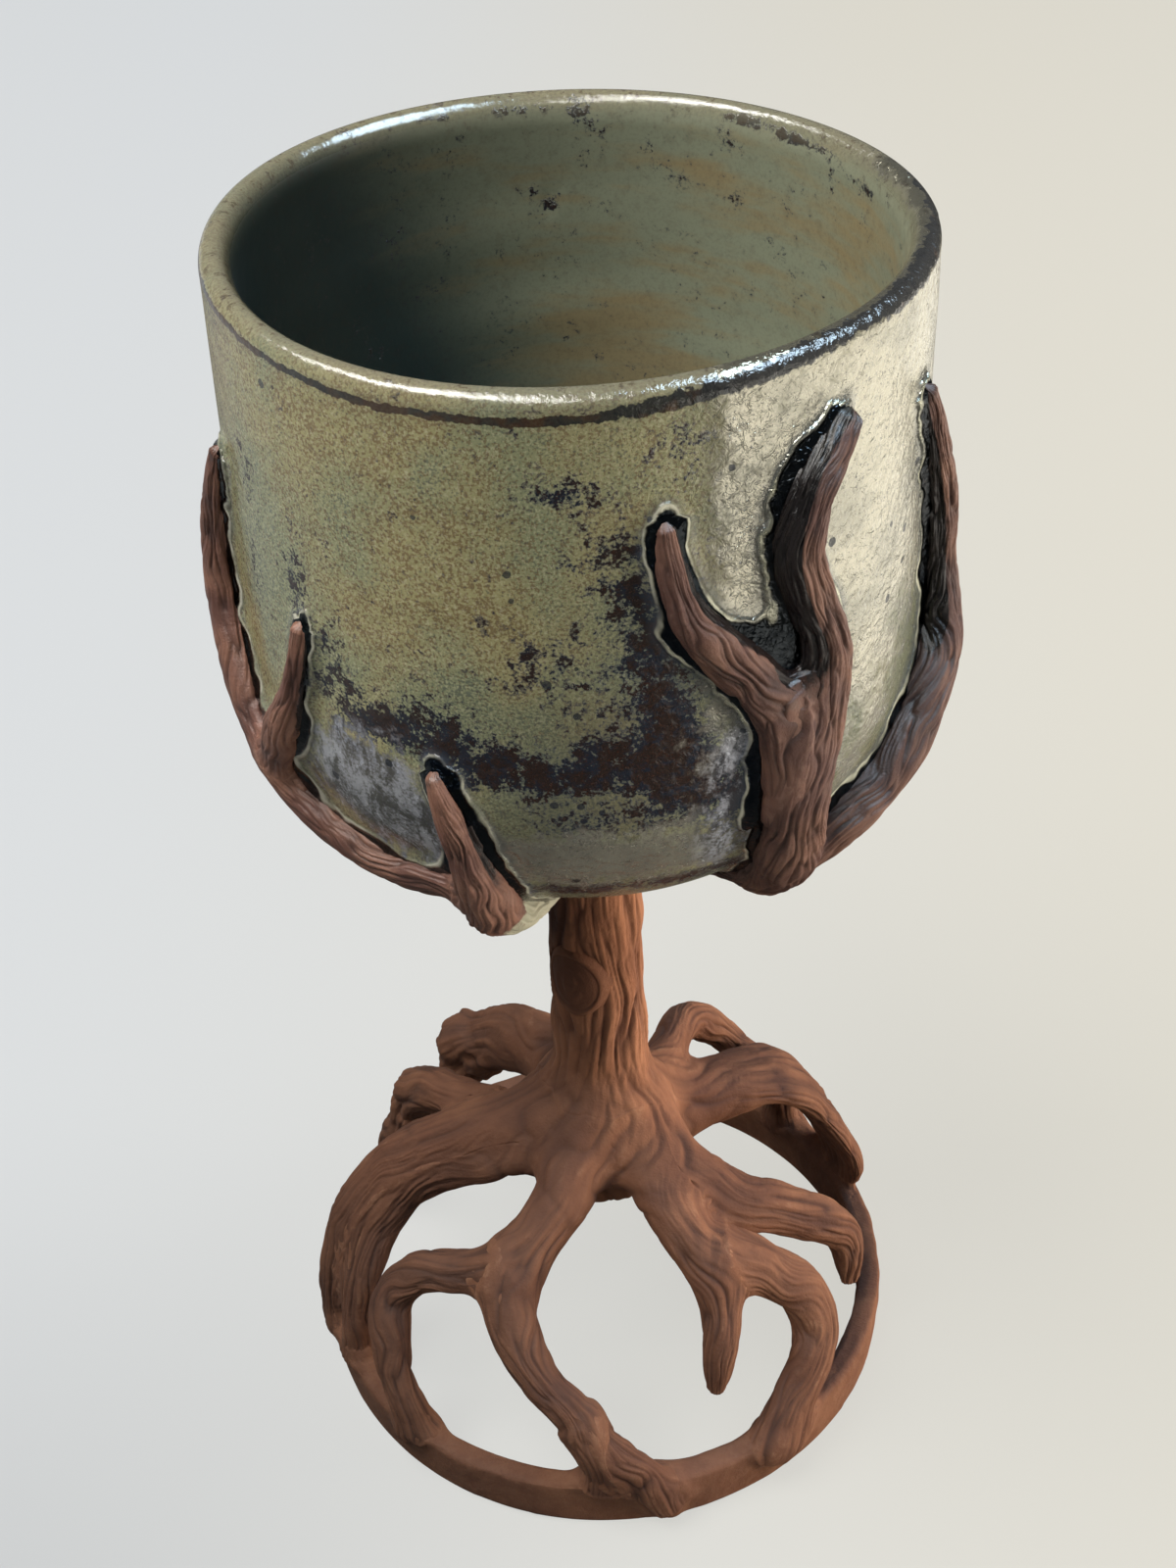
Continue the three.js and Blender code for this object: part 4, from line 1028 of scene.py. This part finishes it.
# Bowl: its profile goes from the middle of the underside, up the outside, over the lip and down the inside.
# Patches are azimuth, height, half width, half height and strength.
bowlPatches = {
    "iron": [
        (-79, 165, 4.2, 8.0, 0.85), (-76, 153, 4.5, 7.0, 0.80), (-84, 172, 4.5, 6.0, 0.45),
        (-86, 150, 9.0, 4.5, 0.60), (-91, 186, 4.6, 2.2, 0.62), (-86, 179, 4.0, 3.0, 0.36),
        (-92, 163, 8.0, 8.0, 0.30), (-133, 157, 3.5, 5.0, 0.50), (-126, 151, 5.5, 4.5, 0.72),
        (-116, 152, 5.5, 4.5, 0.50), (-109, 149, 6.0, 4.0, 0.72), (-98, 147, 7.0, 4.0, 0.50),
        (-139, 166, 2.5, 5.0, 0.50), (-70, 190, 6.0, 4.0, 0.38), (-67, 176, 6.0, 6.0, 0.36),
        (-152, 168, 3.0, 14.0, 0.34), (-110, 158, 10.0, 5.0, 0.22), (-88, 140, 16.0, 4.0, 0.42),
        (-71, 145, 6.0, 5.0, 0.62), (-66, 141, 4.5, 13.0, 0.50), (-81, 147, 8.0, 6.0, 0.34),
        (30, 150, 12.0, 8.0, 0.6), (100, 145, 14.0, 6.0, 0.6), (160, 158, 9.0, 9.0, 0.5),
        (65, 175, 7.0, 6.0, 0.45), (-20, 152, 8.0, 9.0, 0.35), (120, 178, 5.0, 5.0, 0.45)],
    "insideIron": [
        (98, 196.0, 5.5, 0.8, 0.62), (87, 195.0, 2.6, 2.4, 0.66), (74, 192, 1.2, 0.9, 0.6),
        (40, 195.4, 9.0, 0.9, 0.6), (54, 196.2, 6.0, 0.7, 0.6), (115, 196.3, 6.0, 0.6, 0.5),
        (22, 193.6, 7.0, 1.0, 0.5), (96.5, 184.2, 0.8, 1.3, 0.75), (93.5, 182.6, 1.7, 0.6, 0.75)],
    # thin glaze, with painted shade left of branch_front
    "thin": [(-72, 152, 8.0, 15.0, 0.32), (-80, 150, 13.0, 12.0, 0.34)],
    "dark": [(-66, 139, 6.5, 15.0, 0.75)],
    "stain": [(62, 189, 9.0, 4.0, 0.8), (22, 186, 12.0, 7.0, 0.9), (-5, 180, 10.0, 9.0, 0.7),
              (112, 190, 10.0, 3.0, 0.6), (80, 156, 13.0, 14.0, 1.5)],
    "silver": [(-128, 141, 12.0, 9.0, 1.1), (-92, 133, 28.0, 6.5, 0.95), (-66, 150, 6.5, 11.0, 0.50),
               (-43, 172, 20.0, 38.0, 1.1), (60, 138, 20.0, 7.0, 0.6), (170, 140, 14.0, 8.0, 0.5)],
}
lipDark = {  # azimuth, how far over the lip the dark line's middle lies, and its half width
    "azimuth": [-180, -150, -125, -100, -85, -70, -50, -20, 10, 40, 90, 140, 180],
    "middle": [0.6, 0.3, -0.8, -1.0, -0.7, 0.5, 1.4, 1.9, 1.5, 0.9, 0.8, 0.8, 0.6],
    "width": [0.45, 0.45, 0.50, 0.55, 0.80, 1.1, 1.45, 1.5, 1.2, 0.5, 0.4, 0.4, 0.30],
}
bowlGlaze = {
    # the underside's iron: height, half height, strength, and more of it round one azimuth
    "baseIron": {"height": 126, "high": 2.5, "strength": 0.3, "azimuth": -88, "wide": 45, "more": 0.45},
    "moreInsideIron": 1.5, "lessInsideIron": 0.22, "insideIronFrom": (2.4, 4.4), "lessIron": 0.04,
    "cream": {"from": (-77, -65), "to": (10, 40), "up": (140, 165), "silver": 0.85},  # pale, at the right
    # thin glaze and painted shade: a band low on the corner, and more from the front round to the right
    "thinAndShadeLow": {"height": 134, "high": 22, "from": (-135, -95), "to": (40, 80), "strength": 0.68},
    "thinAndShadeFall": {"from": (-118, -84), "to": (40, 80), "strength": 0.44},
    # painted light inside: fullest towards one azimuth and less deeper down, with painted shade elsewhere
    "insideLight": {"azimuth": 50, "span": (-0.06, 0.58), "height": 190, "rise": 0.010},
    "lip": {"middle": 3.2, "wide": 3.0},
    "lessPool": {"azimuth": -142, "wide": 34, "by": 0.5},
}


def patchField(kind, azimuth, height):
    # a sum of soft ovals on the wall, each a bell curve of the distance in its own half width and half height
    total = 0
    for where, level, halfWidth, halfHeight, strength in bowlPatches[kind]:
        across = np.radians(degreesFrom(where, azimuth)) * bowl["radius"]
        total = total + strength * bell(across, halfWidth) * bell(height - level, halfHeight)
    return np.clip(total, 0, 1.1)


def arc(middle, radius, start, end, count):  # from one angle to another, in degrees
    return middle + radius * polar(np.linspace(start, end, count), 1, 0)[:, :2]


def straight(start, end, count):  # without its last point
    return np.linspace(start, end, count, endpoint=False)


def bowlProfile():
    # gives back radius and height of each row, the way from the lip's outer edge, and 0 outside to 1 inside
    lip, base, radius = bowl["lip"] / 2, bowl["baseHeight"], bowl["radius"]
    insideCorner, insideFloor = bowl["cornerRadius"] - bowl["wall"], base + bowl["floor"]
    inner = np.array([cornerMiddle[0], insideFloor + insideCorner])
    outside = np.concatenate([
        straight((bowl["pole"], base), (cornerMiddle[0], base), bowl["floorRows"]),
        arc(cornerMiddle, bowl["cornerRadius"], -90, 0, bowl["cornerRows"])[:-1],
        straight((radius, cornerMiddle[1]), (radius, wallTop), bowl["wallRows"])])
    # a quarter circle outside, and a longer quarter of an oval inside, where the thrower pressed the edge
    angle = np.radians(np.linspace(0, 180, bowl["lipRows"]))
    inward = angle > np.pi / 2
    across = np.cos(angle) * np.where(inward, bowl["lipInside"], lip)
    drop = (1 - np.sin(angle)) * np.where(inward, bowl["lipDepth"], lip)
    over = np.column_stack([radius - lip + across, wallTop + lip - drop])
    down = np.linspace(0, 1, bowl["insideRows"])[1:]
    innerWall = np.column_stack([blend(over[-1, 0], inner[0] + insideCorner, ease(0, 0.4, down)),
                                 blend(over[-1, 1], inner[1], down)])
    innerCorner = arc(inner, insideCorner, 0, -90, bowl["insideRows"])[1:]
    innerFloor = np.linspace((inner[0], insideFloor), (bowl["pole"], insideFloor), bowl["floorRows"])[1:]
    profile = np.concatenate([outside, over, innerWall, innerCorner, innerFloor])
    length = lengthAlong(profile)
    fromLip = length - length[len(outside)]
    return profile, fromLip, ease(0.5 * np.pi * lip, 1.1 * np.pi * lip, fromLip)


def bowlSurface(profile, insideShare, azimuth):
    # the grid, and how far each of its points is from the nearest branch
    radius, height = profile[:, :1], profile[:, 1:]
    outward = unit(np.gradient(profile, axis=0) @ np.array([[0, -1], [1, 0]]))
    normal = polar(azimuth, outward[:, :1], outward[:, 1:])
    # the thrower's rim wanders: higher at one azimuth, wider and narrower at others
    high = ease(cornerMiddle[1], wallTop, height)
    lift = high * bowl["rimLift"] * np.maximum(np.cos(np.radians(azimuth - bowl["rimLiftAzimuth"])), 0) ** 2
    wider = sum(by * bell(degreesFrom(where, azimuth), width) for where, width, by in bowl["wander"])
    turn = azimuth / 360 + 0 * height
    cells = bowl["ringCells"]
    climb = height / bowl["ringSpacing"] + turn * bowl["ringTwist"]
    rings = softNoise(climb, turn * cells, cells, bowl["ringSeed"]) - 0.5
    rings = rings * 2 * np.abs(outward[:, :1]) * np.where(insideShare > 0.5, bowl["insideRings"], 1)[:, None]
    grid = polar(azimuth, radius + high ** 2 * wider, height + lift)
    grid = grid + normal * (bowl["throwingRings"] * rings * ease(*bowl["ringsStart"], radius))[..., None]
    # glaze laps up against each branch
    outside = (insideShare < 0.02) & (profile[:, 0] > 2)
    points = grid[outside].reshape(-1, 3)
    nearest = np.full(len(points), bowl["farGap"])
    for distance, _ in branchPieces.values():
        nearest = blendMin(nearest, distance(points), bowl["branchReach"])
    gap = np.full(grid.shape[:2], bowl["farGap"])
    gap[outside] = nearest.reshape(-1, grid.shape[1])
    lap = bowl["glazeLapHeight"] * np.clip(1 - gap / bowl["glazeLap"], 0, 1) ** 2
    # a small dent left by a finger inside the back
    dent = bowl["dent"]
    across = np.radians(azimuth - dent["azimuth"]) * dent["radius"]
    slanted = across + dent["slant"] * (height - dent["height"])
    pressed = dent["deep"] * bell(slanted, dent["long"]) * bell(height - dent["height"], dent["high"])
    return grid + normal * (lap - pressed * (insideShare > 0.98)[:, None])[..., None], gap


def addBowl():
    profile, fromLip, insideShare = bowlProfile()
    azimuth = np.linspace(0, 360, bowl["around"], endpoint=False)[None]
    grid, gap = bowlSurface(profile, insideShare, azimuth)
    azimuth = degreesFrom(0, azimuth)
    radius, height = profile[:, :1], profile[:, 1:]
    fromLip, inside = fromLip[:, None], insideShare[:, None]
    outer = 1 - inside

    def between(span):  # 1 between two azimuths, with soft ends
        return ease(*span["from"], azimuth) * (1 - ease(*span["to"], azimuth))

    base, cream, low, fall = (bowlGlaze[key] for key in ("baseIron", "cream", "thinAndShadeLow", "thinAndShadeFall"))
    warm, line, less = (bowlGlaze[key] for key in ("insideLight", "lip", "lessPool"))
    insideIron = bowlGlaze["moreInsideIron"] * patchField("insideIron", azimuth, height)
    insideIron = (insideIron - bowlGlaze["lessInsideIron"]) * ease(*bowlGlaze["insideIronFrom"], fromLip)
    iron = patchField("iron", azimuth, height) * outer + insideIron
    baseIron = base["strength"] + base["more"] * bell(degreesFrom(base["azimuth"], azimuth), base["wide"])
    baseIron = baseIron * bell(height - base["height"], base["high"]) * outer
    edge = between(cream) * outer
    silver = cream["silver"] * edge * ease(*cream["up"], height)
    silver = np.maximum(patchField("silver", azimuth, height) * outer, silver)
    # thin glaze, with painted shade low down and towards the right
    thin = low["strength"] * bell(height - low["height"], low["high"]) * between(low)
    thin = thin + fall["strength"] * between(fall) + patchField("thin", azimuth, height)
    thin = np.clip(edge + thin * outer, 0, 1)
    # how far a point inside lies towards the side with the painted light
    toInsideLight = np.cos(np.radians(azimuth - warm["azimuth"])) * radius / (bowl["radius"] - bowl["wall"])
    width = np.interp(azimuth, lipDark["azimuth"], lipDark["width"])
    values = {
        "limbGap": gap + less["by"] * bell(degreesFrom(less["azimuth"], azimuth), less["wide"]),
        "iron": np.maximum(iron, baseIron) - bowlGlaze["lessIron"], "silver": silver,
        "lip": bell(fromLip - line["middle"], line["wide"]),
        "thin": thin * (1 - patchField("dark", azimuth, height)),
        "insideLight": ease(*warm["span"], toInsideLight + warm["rise"] * (height - warm["height"])),
        "stain": patchField("stain", azimuth, height) * inside, "inside": inside,
        "lipLine": (fromLip - np.interp(azimuth, lipDark["azimuth"], lipDark["middle"])) / width,
    }
    addPiece("bowl", "_glazed", glaze, grid, values)


addBowl()
print("bowl made")


# Floor and lights: a plain pale floor, a soft window from the upper left, and a bright sunlit card low on the
# right, whose straight edge shows in the glaze. Lights come from an azimuth, elevation and distance, or stand
# at a place and aim one way.
studio = {
    "floorSize": 6.0, "floorLeft": (0.925, 0.955, 0.975), "floorRight": (0.97, 0.935, 0.83),
    "floorShade": 0.11, "floorGlow": 0.65, "floorGloss": 0.12, "nearShade": 0.19, "glossLeft": 0.55,
    "bounceLeft": 0.25, "bounceRight": 0.90, "roughness": 0.9, "specular": 0.1, "bowlHeight": 0.15,
    "worldColour": (0.90, 0.96, 1.0), "worldLight": 0.08, "worldSeen": 0.75, "worldGloss": 0.15,
    "lights": [
        {"name": "windowLight", "from": (-161, 65, 1.2), "size": (0.70, 0.70), "watts": 17.0,
         "colour": (1.0, 0.98, 0.94)},
        {"name": "skyLight", "from": (-7, 57, 1.3), "size": (0.80, 0.70), "watts": 46.0,
         "colour": (0.62, 0.82, 1.0), "diffuse": False},
        {"name": "stripLight", "from": (-150, 62, 1.25), "size": (2.0, 0.34), "watts": 30.0,
         "colour": (1.0, 0.99, 0.96), "diffuse": False},
        {"name": "sideLight", "at": (0.75, 0.02, 0.13), "aim": (-1, 0, 0), "size": (0.90, 0.22),
         "watts": 10.5, "colour": (1.0, 0.95, 0.88), "glossy": False},
        {"name": "lowCard", "at": (0.575, -0.05, 0.004), "aim": (0, 0, 1), "size": (0.76, 0.90),
         "watts": 2.9, "colour": (1.0, 0.96, 0.87), "diffuse": False},
    ],
}


def addFloor(look):
    half = look["floorSize"] / 2
    mesh = bpy.data.meshes.new("floor")
    corners = [(-half, -half, 0), (half, -half, 0), (half, half, 0), (-half, half, 0)]
    mesh.from_pydata(corners, [], [(0, 1, 2, 3)])
    material, tree, inputs, place = newMaterial("plain pale floor")
    inputs["Roughness"].default_value = look["roughness"]
    inputs["Specular IOR Level"].default_value = look["specular"]
    right, away = axis(place, "X"), axis(place, "Y")
    rays = tree.nodes.new("ShaderNodeLightPath").outputs
    seen, glossy = Value(rays["Is Camera Ray"]), Value(rays["Is Glossy Ray"])
    tint = mix(band(right, -160, 160), look["floorLeft"], look["floorRight"])
    tint = mix(1.0, tint, 1 - band(right, 40, -120) * band(away, 60, -100) * look["nearShade"], "MULTIPLY")
    # the camera sees a paler and less shaded floor than the one that lights the piece, and the glaze sees a
    # floor that glows at its left only: a painted reflection in the bowl's left side
    bounce = band(right, -60, 120, look["bounceLeft"], look["bounceRight"])
    colour = mix(seen, mix(glossy, bounce, look["floorGloss"]), look["floorShade"])
    put(inputs["Base Color"], mix(1.0, colour, tint, "MULTIPLY"))
    put(inputs["Emission Color"], tint)
    gloss = glossy * band(right, -420, -80, look["glossLeft"], 0.0)
    put(inputs["Emission Strength"], seen * look["floorGlow"] + gloss)
    mesh.materials.append(material)
    addObject("floor", mesh)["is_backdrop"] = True


def addWorld(look):
    world = bpy.data.worlds.new("studio")
    scene.world = world
    world.use_nodes = True
    background = world.node_tree.nodes["Background"].inputs
    put(background["Color"], look["worldColour"])
    rays = world.node_tree.nodes.new("ShaderNodeLightPath").outputs
    strength = look["worldLight"]
    for ray, light in (("Is Glossy Ray", look["worldGloss"]), ("Is Camera Ray", look["worldSeen"])):
        strength = join("Mix", {0: Value(rays[ray]), 2: strength, 3: light})
    put(background["Strength"], strength)


def addLight(look):
    data = bpy.data.lights.new(look["name"], "AREA")
    data.shape = "RECTANGLE"
    data.size, data.size_y = look["size"]
    data.energy = look["watts"]
    data.color = look["colour"]
    light = addObject(look["name"], data)
    light.visible_camera = False
    light.visible_diffuse = look.get("diffuse", True)
    light.visible_glossy = look.get("glossy", True)
    if "from" in look:
        azimuth, elevation, away = look["from"]
        rise = np.radians(elevation)
        middle = Vector((0, 0, studio["bowlHeight"]))
        where = middle + Vector(polar(azimuth, away * np.cos(rise), away * np.sin(rise)).tolist())
        aim = middle - where
    else:
        where, aim = Vector(look["at"]), Vector(look["aim"])
    light.matrix_world = Matrix.Translation(where) @ aim.to_track_quat("-Z", "Y").to_matrix().to_4x4()


addFloor(studio)
addWorld(studio)
for lamp in studio["lights"]:
    addLight(lamp)
print("studio made")
